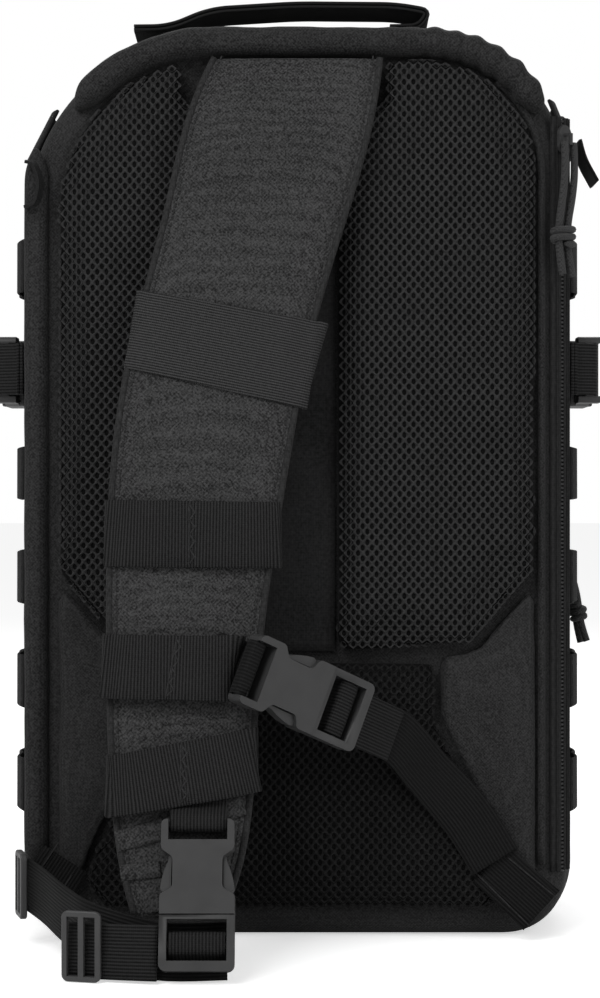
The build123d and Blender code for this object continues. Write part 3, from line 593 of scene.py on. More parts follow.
def netting_rule():
    """Cells of netting over the face of a pad, in two lattices that are staggered."""
    rule = Rule("netting over a pad", [
        ("Across", "Float"), ("Up", "Float"), ("Columns", "Int"), ("Rows", "Int"), ("Middle", "Vector"),
        ("Stand", "Float"), ("Cell", "Object"), ("Finish", "Material")])
    given, node = rule.given, rule.node
    size_x, size_y = [rule.math("MULTIPLY", given[pitch], rule.math("SUBTRACT", given[count], 1.0))
                      for pitch, count in (("Across", "Columns"), ("Up", "Rows"))]
    both = node("GeometryNodeJoinGeometry", {})[0]
    for shift in (0.0, 0.5):
        grid = node("GeometryNodeMeshGrid", {"Size X": size_x, "Size Y": size_y,
                                             "Vertices X": given["Columns"], "Vertices Y": given["Rows"]})
        stagger = node("ShaderNodeCombineXYZ", {"X": rule.math("MULTIPLY", given["Across"], shift),
                                                "Y": rule.math("MULTIPLY", given["Up"], shift)})
        moved = node("GeometryNodeTransform", {"Geometry": grid[0], "Translation": stagger[0]})
        stood = node("GeometryNodeTransform", {"Geometry": moved[0], "Rotation": (math.pi / 2, 0, 0),
                                               "Translation": given["Middle"]})
        rule.join(stood[0], both.node.inputs[0])
    ray = node("GeometryNodeRaycast", {"Target Geometry": given["Geometry"], "Ray Direction": (0, 1, 0),
                                       "Ray Length": 0.05})
    place, normal = ray["Hit Position"], ray["Hit Normal"]
    missed = node("FunctionNodeBooleanMath", {0: ray["Is Hit"]}, operation="NOT")[0]
    facing = node("ShaderNodeVectorMath", {0: normal, 1: (0, -1, 0)}, operation="DOT_PRODUCT")["Value"]
    steep = node("FunctionNodeCompare", {0: facing, 1: steepest}, operation="LESS_THAN")[0]
    found = node("GeometryNodeCaptureAttribute", {"Geometry": both})
    capture = found[0].node
    for kind, label, value in (("VECTOR", "place", place), ("VECTOR", "normal", normal),
                               ("BOOLEAN", "missed", missed), ("BOOLEAN", "steep", steep)):
        capture.capture_items.new(kind, label)
        rule.join(value, capture.inputs[label])
    found = capture.outputs
    off = node("FunctionNodeBooleanMath", {0: found["missed"], 1: found["steep"]}, operation="OR")
    kept = node("GeometryNodeDeleteGeometry", {"Geometry": found[0], "Selection": off[0]}, domain="POINT")
    lift = node("ShaderNodeVectorMath", {0: found["normal"], "Scale": given["Stand"]}, operation="SCALE")
    raised = node("ShaderNodeVectorMath", {0: found["place"], 1: lift[0]}, operation="ADD")
    stood = node("GeometryNodeSetPosition", {"Geometry": kept[0], "Position": raised[0]})
    inward = node("ShaderNodeVectorMath", {0: found["normal"], "Scale": -1.0}, operation="SCALE")
    turned = node("FunctionNodeAlignRotationToVector", {"Vector": inward[0]}, axis="Y")
    rule.copies(stood[0], given["Cell"], turned[0])
    return rule


rows_of = row_rule()
netting_over = netting_rule()
spare_parts = []


def small_part(name, vertices, faces):
    """The part that a rule repeats. It is taken away at the end."""
    part = new_piece(name, [Vector(v) for v in vertices], faces, thread_black)
    spare_parts.append(part)
    return part


def capsule(length, width, height):
    """A small rounded bar along X, lying across Y, flat underneath."""
    a, b, c = length / 2, width / 2, height
    section = [(-b, c * 0.25), (b, c * 0.25), (-b * 0.6, c), (b * 0.6, c)]
    vertices = [(-a, 0, c * 0.2)] + [(side * a * 0.7, y, z) for side in (-1, 1) for y, z in section]
    vertices += [(a, 0, c * 0.2), (-a * 0.7, 0, -c * 0.3), (a * 0.7, 0, -c * 0.3)]
    faces = [(0, 2, 4), (0, 4, 3), (0, 3, 1), (0, 1, 10), (0, 10, 2), (9, 8, 6), (9, 7, 8), (9, 5, 7),
             (9, 11, 5), (9, 6, 11), (1, 3, 7, 5), (3, 4, 8, 7), (4, 2, 6, 8), (10, 1, 5, 11),
             (2, 10, 11, 6)]
    return vertices, faces


stitch_part = small_part("stitch", *capsule(2.3, 0.75, 0.42))
coil_part = small_part("coil turn", *capsule(1.25, 4.0, 1.3))


def row_of(part, points, pitch, across, finish, name):
    """Copies of a part along a path through places in millimetres."""
    mesh = bpy.data.meshes.new("path")
    edges = [(i, i + 1) for i in range(len(points) - 1)]
    mesh.from_pydata([tuple(Vector(p) * MM) for p in points], edges, [])
    carrier = placed("path", mesh)
    piece = rows_of.run(carrier, name, {"Pitch": pitch * MM, "Across": across, "Part": part,
                                        "Finish": finish})
    bpy.data.objects.remove(carrier)
    return piece


# Netting: one cell, with its threads on the border that neighbours share

net_across = 4.4
net_up = 5.1


def netting_cell():
    reach = (net_across**2 + net_up**2) / 8
    side = (reach - net_across**2 / 4) / (net_up / 2)
    top = reach / (net_up / 2)
    half = net_across / 2
    corners = [(half, side), (0, top), (-half, side), (-half, -side), (0, -top), (half, -side)]
    outer, mid, inner = [], [], []
    for i, (x, z) in enumerate(corners):
        nx, nz = corners[(i + 1) % 6]
        for t in (0.0, 0.5):
            px, pz = x + (nx - x) * t, z + (nz - z) * t
            turn = math.atan2(pz / 1.5, px / 0.95)
            outer.append((px, -0.42, pz))
            mid.append((px * 0.84, -0.34, pz * 0.84))
            inner.append((0.98 * math.cos(turn), 0.45, 1.5 * math.sin(turn)))
    return small_part("netting cell", outer + mid + inner, ring_faces(3, 12))


net_cell = netting_cell()


def netted(pad, name, thread):
    """The netting over a pad's face."""
    low, high = (Vector([pick(v.co[i] for v in pad.data.vertices) for i in range(3)]) for pick in (min, max))
    middle = (low + high) / 2
    middle.y = low.y - 0.02
    piece = netting_over.run(pad, name, {
        "Across": net_across * MM, "Columns": int((high.x - low.x) / (net_across * MM)) + 3,
        "Up": net_up * MM, "Rows": int((high.z - low.z) / (net_up * MM)) + 3,
        "Middle": middle, "Stand": 0.45 * MM, "Cell": net_cell, "Finish": thread})
    smoothed(piece.data)
    return piece


# Padded pieces: the solid's own form, blown up a little as sewn fabric over foam

def solid_copy(node, name, finish, voxel):
    """A closed copy of a solid, remeshed evenly."""
    mesh = nodes[node].data.copy()
    mesh.name = name
    mesh.materials.clear()
    mesh.materials.append(finish)
    piece = placed(name, mesh)
    with edited(piece) as form:
        bmesh.ops.remove_doubles(form, verts=form.verts, dist=1e-6)
    flattened(stepped(piece, "REMESH", mode="VOXEL", voxel_size=voxel * MM))
    smoothed(piece.data)
    return piece


cloth_frames = 14


def blown(piece, pressure, cap, hold):
    """Blow a piece up as cloth, with gravity off, no point moving further than the cap."""
    before = [v.co.copy() for v in piece.data.vertices]
    step = piece.modifiers.new("fabric", "CLOTH")
    settings = step.settings
    for key, value in (("quality", 4), ("use_pressure", True), ("uniform_pressure_force", pressure),
                       ("tension_stiffness", 25), ("compression_stiffness", 25), ("bending_stiffness", 0.6)):
        setattr(settings, key, value)
    settings.effector_weights.gravity = 0.0
    step.collision_settings.use_collision = False
    group = piece.vertex_groups.new(name="sewn")
    group.add([v.index for v in piece.data.vertices if hold(v.co / MM)], 1.0, "REPLACE")
    settings.vertex_group_mass = "sewn"
    step.point_cache.frame_start = 1
    step.point_cache.frame_end = cloth_frames
    scene = bpy.context.scene
    for number in range(1, cloth_frames + 1):
        scene.frame_set(number)
    view = bpy.context.evaluated_depsgraph_get()
    moved = [v.co.copy() for v in piece.evaluated_get(view).data.vertices]
    piece.modifiers.remove(step)
    piece.vertex_groups.clear()
    for vertex, was, now in zip(piece.data.vertices, before, moved):
        shift = now - was
        if shift.length > cap * MM:
            shift *= cap * MM / shift.length
        vertex.co = was + shift
    scene.frame_set(1)
    return piece


def sewn_pad(node, name, finish, voxel, pressure, cap, fill, crease):
    """One of the padded panels, from its solid, with shallow creases pressed into it."""
    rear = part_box(node)[1].y / MM - 1.5
    piece = solid_copy(node, name, finish, voxel)
    blown(piece, pressure, cap, lambda p: p.y > rear)
    piece.data.update()
    normals = [v.normal.copy() for v in piece.data.vertices]
    for vertex, normal in zip(piece.data.vertices, normals):
        place = vertex.co / MM
        if place.y < rear:
            pressed = crease * ripple(place, 26.0, 3.0) + 0.5 * crease * ripple(place, 9.0, 7.0)
            vertex.co += normal * pressed * MM
    piece.data.update()
    flattened(rounded(piece))
    smoothed(piece.data)
    dressed(piece, "pack", [node])
    return piece


# The mesh pads take the near-black foam, painted shade that shows through the netting.
pads = [sewn_pad(*made) for made in (
    ("back_pad_left", "mesh_pad_left", foam_painted_shade, 4.0, 2.5, 2.5, 0.7, 0.35),
    ("back_pad_right", "mesh_pad_right", foam_painted_shade, 4.0, 2.5, 2.5, 0.7, 0.35),
    ("lumbar_pad", "mesh_pad_lumbar", foam_painted_shade, 4.0, 2.5, 3.0, 0.7, 0.45),
    ("wing_left", "wing_left_cover", pack_fabric, 3.0, 2.0, 2.5, 0.6, 0.9),
    ("wing_right", "wing_right_cover", pack_fabric, 3.0, 2.0, 2.5, 0.6, 0.9))]
# The lumbar netting takes the darker copy of the thread, as painted shade.
for pad, name, thread in zip(pads, ("netting_left", "netting_right", "netting_lumbar"),
                             (net_thread, net_thread, net_thread_shaded)):
    dressed(netted(pad, name, thread), "pack")


# The pack's body: one loft from the back panel round the gusset to the front edge

def rounded_plan(low, high, radii, offset, step=None):
    """Points round a rectangle with round corners, moved out by an offset, with their outward
    directions, anticlockwise from the lower left corner as seen from the wearer's side."""
    corners = [(low.x + radii[0], low.z + radii[0]), (high.x - radii[1], low.z + radii[1]),
               (high.x - radii[2], high.z - radii[2]), (low.x + radii[3], high.z - radii[3])]
    places = []
    for i, (x, z) in enumerate(corners):
        count = max(6, int(radii[i] * math.pi / 2 / step)) if step else 8
        for angle in span(180 + 90 * i, 270 + 90 * i, count):
            turn = math.radians(angle)
            way = Vector((math.cos(turn), 0, math.sin(turn)))
            places.append((Vector((x, 0, z)) + way * (radii[i] + offset), way))
        here = places[-1][0]
        following = (i + 1) % 4
        there = Vector((corners[following][0], 0, corners[following][1])) + way * (radii[following] + offset)
        count = max(2, int((there - here).length / step)) if step else 12
        places += [(here.lerp(there, k / count), way) for k in range(1, count)]
    return places


def outline(offset, step=5.0):
    """The pack's own outline, moved out by an offset."""
    return rounded_plan(Vector((-half_width, 0, 0)), Vector((half_width, 0, pack_height)),
                        (base_corner, base_corner, right_corner, left_corner), offset, step)


inner_limit = -22.0


def ring_at(offset, step):
    """The outline moved out by an offset. Far inside, it shrinks to the middle instead."""
    if offset >= inner_limit:
        return outline(offset, step)
    middle = Vector((0, 0, pack_height / 2))
    share = (half_width + offset) / (half_width + inner_limit)
    return [(middle + (place - middle) * share, way) for place, way in outline(inner_limit, step)]


def lofted(name, profile, finish, capped, wobble, step=5.0):
    """A skin round the pack through a profile of (offset outwards, depth), closed over one of its rings."""
    rings = [ring_at(offset, step) for offset, depth in profile]
    count = min(len(r) for r in rings)
    vertices = []
    for ring, (offset, depth) in zip(rings, profile):
        for place, way in ring[:count]:
            point = Vector((place.x, back_y + depth, place.z))
            vertices.append(point + wobble(point, way, depth))
    piece = new_piece(name, vertices, ring_faces(len(rings), count), finish)
    with edited(piece) as form:
        form.verts.ensure_lookup_table()
        first = capped % len(rings) * count
        form.faces.new([form.verts[first + j] for j in range(count)])
    return piece


def side_swell(depth):
    """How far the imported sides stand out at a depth."""
    share = (depth - back_rounding) / (compartment_depth - back_rounding)
    return side_bulge * max(0.0, 4 * share * (1 - share))


def body_wobble(point, way, depth):
    """How the gusset's fabric bulges and creases. The base stays flat on the floor."""
    middle = math.sin(math.pi * min(1, max(0, (depth - 4) / (compartment_depth - 4))))
    outwards = max(-1.0, min(1.0, point.x / 60))
    low = smooth((point.z - 4) / 30)
    crease = 0.9 * ripple(point, 34.0, 1.0) + 0.45 * ripple(point, 13.0, 4.0)
    return Vector((side_swell(depth) * outwards, 0, 0)) + way * (crease * middle * low)


body_profile = [(-118, 0.4), (-90, 0.4), (-60, 0.3), (-38, 0.2), (-22, 0.0)]
body_profile += [(back_rounding * (math.sin(turn) - 1), back_rounding * (1 - math.cos(turn)))
                 for turn in span(0, math.pi / 2, 5)]
body_profile += [(0.0, d) for d in (20, 27, 34, 41, 48, 55, 62, 69, 76, 83, 90, 96, 101.6)]
pack_skin = outward(lofted("pack_cover", body_profile, pack_fabric, 0, body_wobble))


def walled(piece, thickness, offset=-1.0):
    """Give a skin its thickness, inwards unless the offset says otherwise."""
    return flattened(stepped(piece, "SOLIDIFY", thickness=thickness * MM, offset=offset))


def facing_out(piece):
    """Make a skin's faces look away from the inside of the pack."""
    middle = at(0, 60, 210)
    with edited(piece) as form:
        score = sum((f.calc_center_median() - middle).dot(f.normal) * f.calc_area() for f in form.faces)
        if score < 0:
            bmesh.ops.reverse_faces(form, faces=form.faces)
    return piece


walled(facing_out(pack_skin), 2.6)
dressed(rounded(pack_skin), "pack", ["side_gusset", "back_panel"])

# The front: the fixed base and the door, each a shell open towards the compartment
front_profile = [(0.0, d) for d in (102.2, 106, 110, 114, 119, 125, 131)]
front_profile += [(-1.2, 135.5), (-4.0, 138.4), (-8.5, 139.6)]
front_profile += [(offset, 139.9) for offset in (-22, -45, -75, -105, -120)]


def front_wobble(point, way, depth):
    crease = 0.8 * ripple(point, 30.0, 9.0)
    low = smooth((point.z - 4) / 30)
    return way * (crease * smooth((depth - 102) / 8) * max(low, 0.1))


def front_shell(name, cut_height, up, near):
    """The front shell beyond a depth, kept above a height where up is 1 and below it where up is -1."""
    profile = [p for p in front_profile if p[1] >= near]
    skin = facing_out(outward(lofted(name, profile, pack_fabric, -1, front_wobble)))
    with edited(skin) as form:
        bmesh.ops.bisect_plane(
            form, geom=form.verts[:] + form.edges[:] + form.faces[:], dist=1e-6,
            plane_co=Vector((0, 0, cut_height * MM)), plane_no=Vector((0, 0, -up)), clear_outer=True)
    walled(skin, 2.8)
    return stepped(skin, "BEVEL", width=0.8 * MM, segments=2, limit_method="ANGLE")


dressed(front_shell("front_base_cover", hinge_height - 0.4, -1, 102), "pack", ["front_base"])
dressed(front_shell("door_cover", door_edge, 1, 114), "door", ["door_shell"])


# Places read from the solids

def corners_of(node, low_z=-50.0, high_z=900.0):
    """The front corners of a flat piece: top left, top right, bottom left and bottom right."""
    points = [v.co / MM for v in nodes[node].data.vertices if low_z <= v.co.z / MM <= high_z]
    return [max(points, key=lambda p: sx * p.x + sz * p.z - 0.02 * p.y)
            for sx, sz in ((-1, 1), (1, 1), (-1, -1), (1, -1))]


strap_rows = []
strap_mesh = nodes["strap_pad"].data
strap_ends = [[strap_mesh.vertices[i].co for i in edge.vertices] for edge in strap_mesh.edges]
for level in [421.0 - 4.0 * i for i in range(99)] + [27.0]:
    height = level * MM
    cuts = [a.lerp(b, (height - a.z) / (b.z - a.z)) / MM for a, b in strap_ends
            if (a.z - height) * (b.z - height) < 0]
    strap_rows.append((level, min(c.x for c in cuts), max(c.x for c in cuts),
                       min(c.y for c in cuts), max(c.y for c in cuts)))


def strap_row(height):
    """The strap at a height: its left and right edges, its face and its back, in millimetres."""
    if height >= strap_rows[0][0]:
        return strap_rows[0][1:]
    for upper, lower in zip(strap_rows, strap_rows[1:]):
        if height >= lower[0]:
            t = (upper[0] - height) / (upper[0] - lower[0])
            return [a + (b - a) * t for a, b in zip(upper[1:], lower[1:])]
    return strap_rows[-1][1:]


def strap_face(x, height):
    """The Y of the strap's sewn face: nearly flat in the middle and pulled in at its edges."""
    left, right, face = strap_row(height)[:3]
    share = min(1.0, max(0.0, (x - left) / (right - left)))
    edge = min(share, 1 - share) * (right - left)
    pull = 3.0 * (1 - smooth(edge / 11.0)) + 0.5 * (1 - smooth(edge / 30.0))
    return face + pull


# Strap: a crowned pad with a bound edge

def strap_piece():
    columns = 22
    turns = [math.pi * (0.04 + 0.92 * c / (columns - 1)) for c in range(columns)]
    shares = [0.5 - 0.5 * math.cos(turn) for turn in turns]
    shares = [(h - shares[0]) / (shares[-1] - shares[0]) for h in shares]
    vertices = []
    for level, left, right, _, rear in strap_rows:
        wide = right - left
        wave = 0.35 * ripple((0, 0, level), 21.0, 2.0)
        for h in shares:
            swell = (0.45 * ripple((h * 70, 3, level), 16.0, 5.0) + wave) * math.sin(math.pi * h)
            vertices.append(Vector((left + wide * h, strap_face(left + wide * h, level) + swell, level)))
        for h in reversed(shares):
            pull = 2.2 * (1 - smooth(min(h, 1 - h) * wide / 9.0))
            vertices.append(Vector((left + wide * h, rear - pull, level)))
    ring = 2 * columns
    faces = ring_faces(len(strap_rows), ring)
    for first in (0, (len(strap_rows) - 1) * ring):
        for j in range(columns - 1):
            a, d = first + j, first + ring - 1 - j
            faces.append((a, a + 1, d - 1, d) if first else (d, d - 1, a + 1, a))
    return rounded(outward(new_piece("strap_cover", vertices, faces, strap_fabric)))


strap_cover = strap_piece()
dressed(strap_cover, "pack", ["strap_pad"])


def tube_piece(name, places, radius, finish, sides, taper=0):
    """A round tube through places in millimetres, closed at both ends and tapered over its last places."""
    vertices, uvs = [], []
    normal = Vector((0, -1, 0.01))
    for place, ahead, length, near in walk(places):
        normal = (normal - ahead * normal.dot(ahead)).normalized()
        side = ahead.cross(normal)
        size = radius * (math.sin(math.pi / 2 * (near + 0.6) / (taper + 0.6)) if near < taper else 1.0)
        for k in range(sides):
            turn = 2 * math.pi * k / sides
            vertices.append(place + (side * math.cos(turn) + normal * math.sin(turn)) * size)
            uvs.append((length * MM, k / sides))
    faces = ring_faces(len(places), sides) + end_faces(len(places), sides)
    return outward(new_piece(name, vertices, faces, finish, uvs))


def bar_tack(x, depth, height, way):
    """Thread sewn to and fro over a row of webbing."""
    line = [spot(x, depth, height - 12 + 3 * k) + Vector(way) * (1 if k % 2 else -1) for k in range(9)]
    return tube_piece("tack", line, 0.5, thread_black, 5)


def scallop(t, loops, power=1.0):
    """How far a sewn row stands out between its tacks, from 0 to 1."""
    return abs(math.sin(math.pi * loops * t)) ** power


def strap_edge_line(side, inset, out):
    """A line down one edge of the strap, inside it by an inset and off its face by a little."""
    line = []
    for level, left, right, *_ in strap_rows:
        x = left + inset if side < 0 else right - inset
        line.append(Vector((x, strap_face(x, level) - out, level)))
    return line


for side, word in ((-1, "left"), (1, "right")):
    binding = tube_piece(f"strap_binding_{word}", strap_edge_line(side, 0.9, -0.6), 1.7, lining_fabric, 8)
    dressed(binding, "pack")
    stitches = row_of(stitch_part, strap_edge_line(side, 4.2, 0.15), 3.2, (1, 0, 0), thread_black,
                      f"strap_stitches_{word}")
    dressed(stitches, "pack")


def band_on_strap(name, corners, lift, thickness, finish, loops=1, swell=0.0, wrap=5.0, tacks=()):
    """A band across the strap from its corners, raised over its face and turned round its edges."""
    top_left, top_right, low_left, low_right = corners
    stations = []
    count = 26
    for i in range(-2, count + 3):
        t = min(1.0, max(0.0, i / count))
        top, low = top_left.lerp(top_right, t), low_left.lerp(low_right, t)
        beyond = max(-i, i - count, 0)
        for p in (top, low):
            p.y = strap_face(p.x, p.z) - lift - swell * scallop(t, loops, 0.7) + beyond * wrap / 2
            p.x += math.copysign(0.8, i) if beyond else 0.0
        stations.append(((top + low) / 2, top - low, (top - low).length))
    pieces = [strip_piece(name, stations, finish, thickness)]
    surface = lift + thickness / 2
    for t in tacks:
        top, low = top_left.lerp(top_right, t), low_left.lerp(low_right, t)
        line = [top.lerp(low, 0.06 + 0.88 * k / 8) for k in range(9)]
        line = [Vector((p.x + (1.1 if k % 2 else -1.1), strap_face(p.x, p.z) - surface - 0.15, p.z))
                for k, p in enumerate(line)]
        pieces.append(tube_piece("tack", line, 0.55, thread_black, 6))
        for shift in (-1.6, 1.6):
            line = [top.lerp(low, 0.03 + 0.94 * k / 10) for k in range(11)]
            line = [Vector((p.x + shift, strap_face(p.x, p.z) - surface - 0.1, p.z)) for p in line]
            pieces.append(tube_piece("tack_edge", line, 0.4, thread_black, 6))
    return pieces


def lift_of(corners):
    """How far a band's front stands off the strap's face at the band's middle."""
    middle = sum(corners, Vector()) / 4
    return strap_face(middle.x, middle.z) - middle.y


elastic_corners = corners_of("strap_elastic_band")
elastic = band_on_strap("strap_elastic", elastic_corners, 0.9, 1.2, ribbed_elastic, wrap=7.0)
dressed(joined("strap_elastic", elastic), "pack", ["strap_elastic_band"])
row_pieces = []
for low_z, high_z, tack_at in ((170, 220, 0.5), (114, 156, 0.55), (62, 112, 0.52)):
    corners = corners_of("strap_pals", low_z, high_z)
    lift = max(1.0, lift_of(corners) - 1.0)
    row_pieces += band_on_strap("strap_row", corners, lift, 1.7, rib_webbing, 2, 0.9, tacks=(tack_at,))
dressed(joined("strap_rows", row_pieces), "pack", ["strap_pals"])


def fold_across_strap(name, a, b, width, lift, finish):
    """A fold sewn across the strap below a line from a to b, each (x, z)."""
    stations = []
    for x, z in zip(span(a[0], b[0], 12), span(a[1], b[1], 12)):
        top = Vector((x, strap_face(x, z) - lift, z))
        low = Vector((x, strap_face(x, z - width) - lift * 0.5, z - width))
        stations.append(((top + low) / 2, top - low, (top - low).length))
    return strip_piece(name, stations, finish, thickness=1.6, samples=2)


strap_folds = [fold_across_strap("strap_fold_upper", (-80.5, 62.5), (-24, 78.5), 9.0, 0.7, strap_fabric),
               fold_across_strap("strap_fold_lower", (-78.5, 48.0), (-60.5, 50.5), 7.0, 0.7, strap_fabric)]
dressed(joined("strap_folds", strap_folds), "pack")


# Rolls and piping round the back

def arc_of(middle, radius, first, last, count=6):
    """Points of an arc in a plane, by its angles in degrees."""
    turns = [math.radians(angle) for angle in span(first, last, count)]
    return [(middle[0] + radius * math.cos(turn), middle[1] + radius * math.sin(turn)) for turn in turns]


left_arc = (-half_width + left_corner, pack_height - left_corner)
right_arc = (half_width - right_corner, pack_height - right_corner)
roll_inset = 7.0
roll_plan = arc_of(left_arc, left_corner - roll_inset, 142, 90, 26)
roll_plan += [(x, pack_height - roll_inset) for x in span(left_arc[0], right_arc[0], 26)[1:-1]]
roll_plan += arc_of(right_arc, right_corner - roll_inset, 90, 28, 32)
roll_line = [spot(x, -1.0, z) for x, z in roll_plan]


def roll_piece():
    """The padded roll over the top seam, pleated where it turns the right corner."""
    sides = 18
    vertices = []
    for place, ahead, length, near in walk(roll_line):
        out = Vector((-ahead.z, 0, ahead.x))
        taper = math.sin(math.pi / 2 * min(1.0, (near + 0.5) / 5.0))
        corner = smooth((place.x - 38) / 28)
        pleat = 0.95 * corner * math.sin(2 * math.pi * length / 10.5 + 1.3 * ripple(place, 17.0, 2.0))
        for k in range(sides):
            turn = 2 * math.pi * k / sides
            c, s = math.cos(turn), math.sin(turn)
            high = 7.2 * math.copysign(abs(c) ** 0.85, c)
            deep = 11.4 * math.copysign(abs(s) ** 0.8, s)
            point = place + out * high * taper + Vector((0, -deep * taper, 0))
            bump = pleat * (0.6 + 0.4 * s) + 0.7 * ripple(point, 15.0, 8.0) + 0.3 * ripple(point, 6.0, 1.0)
            point += (out * c + Vector((0, -s, 0))) * bump * taper
            point.y = min(point.y, back_y + 9.5)
            vertices.append(point)
    faces = ring_faces(len(roll_line), sides) + end_faces(len(roll_line), sides)
    return rounded(outward(new_piece("top_roll_cover", vertices, faces, roll_fabric)))


roll_cover = roll_piece()
dressed(roll_cover, "pack", ["top_roll"])

roll_top = box_of("edge_roll_left")[1].z - 0.5
edge_line = [spot(-125.3 + 0.35 * ripple((0, 0, z), 22.0, 1.0), -0.6, z) for z in span(30.5, roll_top, 89)]
edge_cover = rounded(tube_piece("edge_roll_cover", edge_line, 5.9, roll_fabric, 14, 4))
dressed(edge_cover, "pack", ["edge_roll_left"])

piping_x = sum(corner.x for corner in box_of("edge_piping_right")) / 2
piping_plan = [(piping_x, z) for z in range(36, 368, 8)]
piping_plan += arc_of(right_arc, right_corner - (half_width - piping_x), 0, 52, 10)
piping = tube_piece("edge_piping", [spot(x, -1.9, z) for x, z in piping_plan], 1.8, roll_fabric, 10)
dressed(piping, "pack", ["edge_piping_right"])


def sheet(name, rows, thickness, offset, finish):
    """A thin panel through rows of places."""
    places = [place for row in rows for place in row]
    return walled(new_piece(name, places, net_faces(len(rows), len(rows[0])), finish), thickness, offset)


low, high = box_of("spine_panel")
cell = 5.0
spine_rows = [[spot(x, -2.4 + 0.5 * ripple((x, 0, z), 30.0, 2.0), z)
               for x in span(low.x, high.x, int((high.x - low.x) / cell))]
              for z in span(low.z, high.z, int((high.z - low.z) / cell))]
dressed(sheet("spine_cloth", spine_rows, 1.4, -1.0, spine_fabric), "pack", ["spine_panel"])


# Webbing paths in a buckle's own frame: X along its axis towards the plug, Z outwards

class Seat:
    """The place and directions of a buckle."""

    def __init__(self, origin, along, out):
        self.origin = Vector(origin)
        self.along = Vector(along).normalized()
        self.out = Vector(out).normalized()
        self.across = self.out.cross(self.along)

    def point(self, x, y, z):
        return self.origin + self.along * x + self.across * y + self.out * z

    def way(self, x, y, z):
        return self.along * x + self.across * y + self.out * z


lower_lean = math.radians(17.0)
lower_seat = Seat(spot(-43.6, -91.0, 37.0), (0, -math.sin(lower_lean), -math.cos(lower_lean)),
                  (0, -math.cos(lower_lean), math.sin(lower_lean)))
slope, tilt, bend = (math.radians(a) for a in (20.0, 12.4, 33.5))
strap_down = Vector((0, -math.sin(tilt), -math.cos(tilt)))
strap_out = Vector((0, -math.cos(tilt), math.sin(tilt)))
tail_way = Vector((1, 0, 0)) * math.cos(slope) + strap_down * math.sin(slope)
cross_seat = Seat(spot(2.7, -58.0, 122.9), tail_way * math.cos(bend) - strap_out * math.sin(bend),
                  strap_out * math.cos(bend) + tail_way * math.sin(bend))
side_low, side_high = box_of("side_sockets")
side_height = (side_low.z + side_high.z) / 2
side_axis_x = side_high.x - 5.5
side_depth = 53.0
left_seat, right_seat = (Seat(spot(side * side_axis_x, side_depth, side_height), (0, 1, 0), (side, 0, 0))
                         for side in (-1, 1))
bar_end = -33.0
bar_depth = 3.5
bar_half = 2.0
lap = web_thickness / 2 + 0.1
over_bar = bar_half + 0.2 + web_thickness / 2
near_bar = bar_end + bar_depth + 0.2 + web_thickness / 2
bar_wrap = 16.6
web_drop = 3.5 + 0.6 + web_thickness / 2


def prism(name, corners, height, seat):
    """A straight-sided block of a plan in a buckle's frame, over a range of heights."""
    count = len(corners)
    vertices = [seat.point(x, y, z) for z in height for x, y in corners]
    faces = [tuple(range(count)), tuple(range(count, 2 * count))] + ring_faces(2, count)
    block = outward(new_piece(name, vertices, faces, buckle_nylon))
    block.data.polygons.foreach_set("use_smooth", [False] * len(block.data.polygons))
    return block


def oblong(x0, x1, half):
    return [(x0, -half), (x1, -half), (x1, half), (x0, half)]


def mirrored(corners):
    """A plan closed by its own mirror image across the buckle's axis."""
    return corners + [(x, -y) for x, y in reversed(corners)]


def carved(block, cuts, round_off, seat):
    """Cut a moulding's openings and round its edges."""
    for corners, height in cuts:
        tool = prism("cut", corners, height, seat)
        flattened(stepped(block, "BOOLEAN", operation="DIFFERENCE", solver="EXACT", object=tool))
        old = tool.data
        bpy.data.objects.remove(tool)
        bpy.data.meshes.remove(old)
    flattened(stepped(block, "BEVEL", width=round_off * MM, segments=3, limit_method="ANGLE",
                      angle_limit=math.radians(25)))
    smoothed(block.data)
    return flattened(stepped(block, "WEIGHTED_NORMAL", weight=80))


buckle_seam = 8.5
arm_tip = -17.2


def buckle_socket(name, seat):
    """The female half: a barred end between two lobes, a waist beside the windows, and the sleeve."""
    side = [(bar_end, 13.4)] + arc_of((bar_end + 2.6, 13.6), 2.6, 180, 90)
    side += arc_of((-21.4, 13.2), 3.0, 90, 25) + arc_of((-14.6, 14.2), 3.2, 205, 270)
    side += arc_of((-4.6, 14.0), 3.0, 270, 330) + arc_of((1.4, 14.0), 2.5, 175, 90) + [(buckle_seam, 16.5)]
    over = oblong(bar_end - 3, bar_end + bar_depth + 1, 13.0)
    cuts = [(oblong(bar_end + bar_depth, bar_end + bar_depth + 5.6, 13.0), (-9, 9)),
            (over, (bar_half, 9)), (over, (-9, -bar_half)),
            (oblong(-1.4, buckle_seam + 3, 14.4), (-3.7, 3.7))]
    return carved(prism(name, mirrored(side), (-5.5, 5.5), seat), cuts, 0.9, seat)


def buckle_plug(name, seat):
    """The male half: a frame with a bar for the webbing, and two spring arms with wide ends."""
    root = buckle_seam + 0.35
    side = [(root, 16.5), (28.6, 16.5)] + arc_of((29.8, 13.3), 3.2, 90, 0, 5)
    cuts = [(oblong(root + 1.9, 28.6, 13.1), (-9, 9)), (oblong(28, 36, 13.1), (-9, -1.7))]
    parts = [carved(prism(name, mirrored(side), (-4.0, 4.8), seat), cuts, 1.0, seat),
             carved(prism(name, oblong(19.8, 23.4, 13.6), (-bar_half, bar_half), seat), [], 0.9, seat)]
    for way in (1, -1):
        arm = [(root + 1, 11.6), (root + 1, 14.0), (-0.9, 14.0)] + arc_of((-3.4, 13.9), 2.5, 0, 78, 5)
        arm += [(-7.0, 15.6), (-11.0, 14.4), (-14.6, 12.9)] + arc_of((arm_tip + 0.9, 12.0), 0.8, 70, 250, 5)
        arm = [(x, way * y) for x, y in arm + [(-10.0, 11.5)]]
        parts.append(carved(prism(name, arm, (-3.3, 3.4), seat), [], 0.8, seat))
    return joined(name, parts)


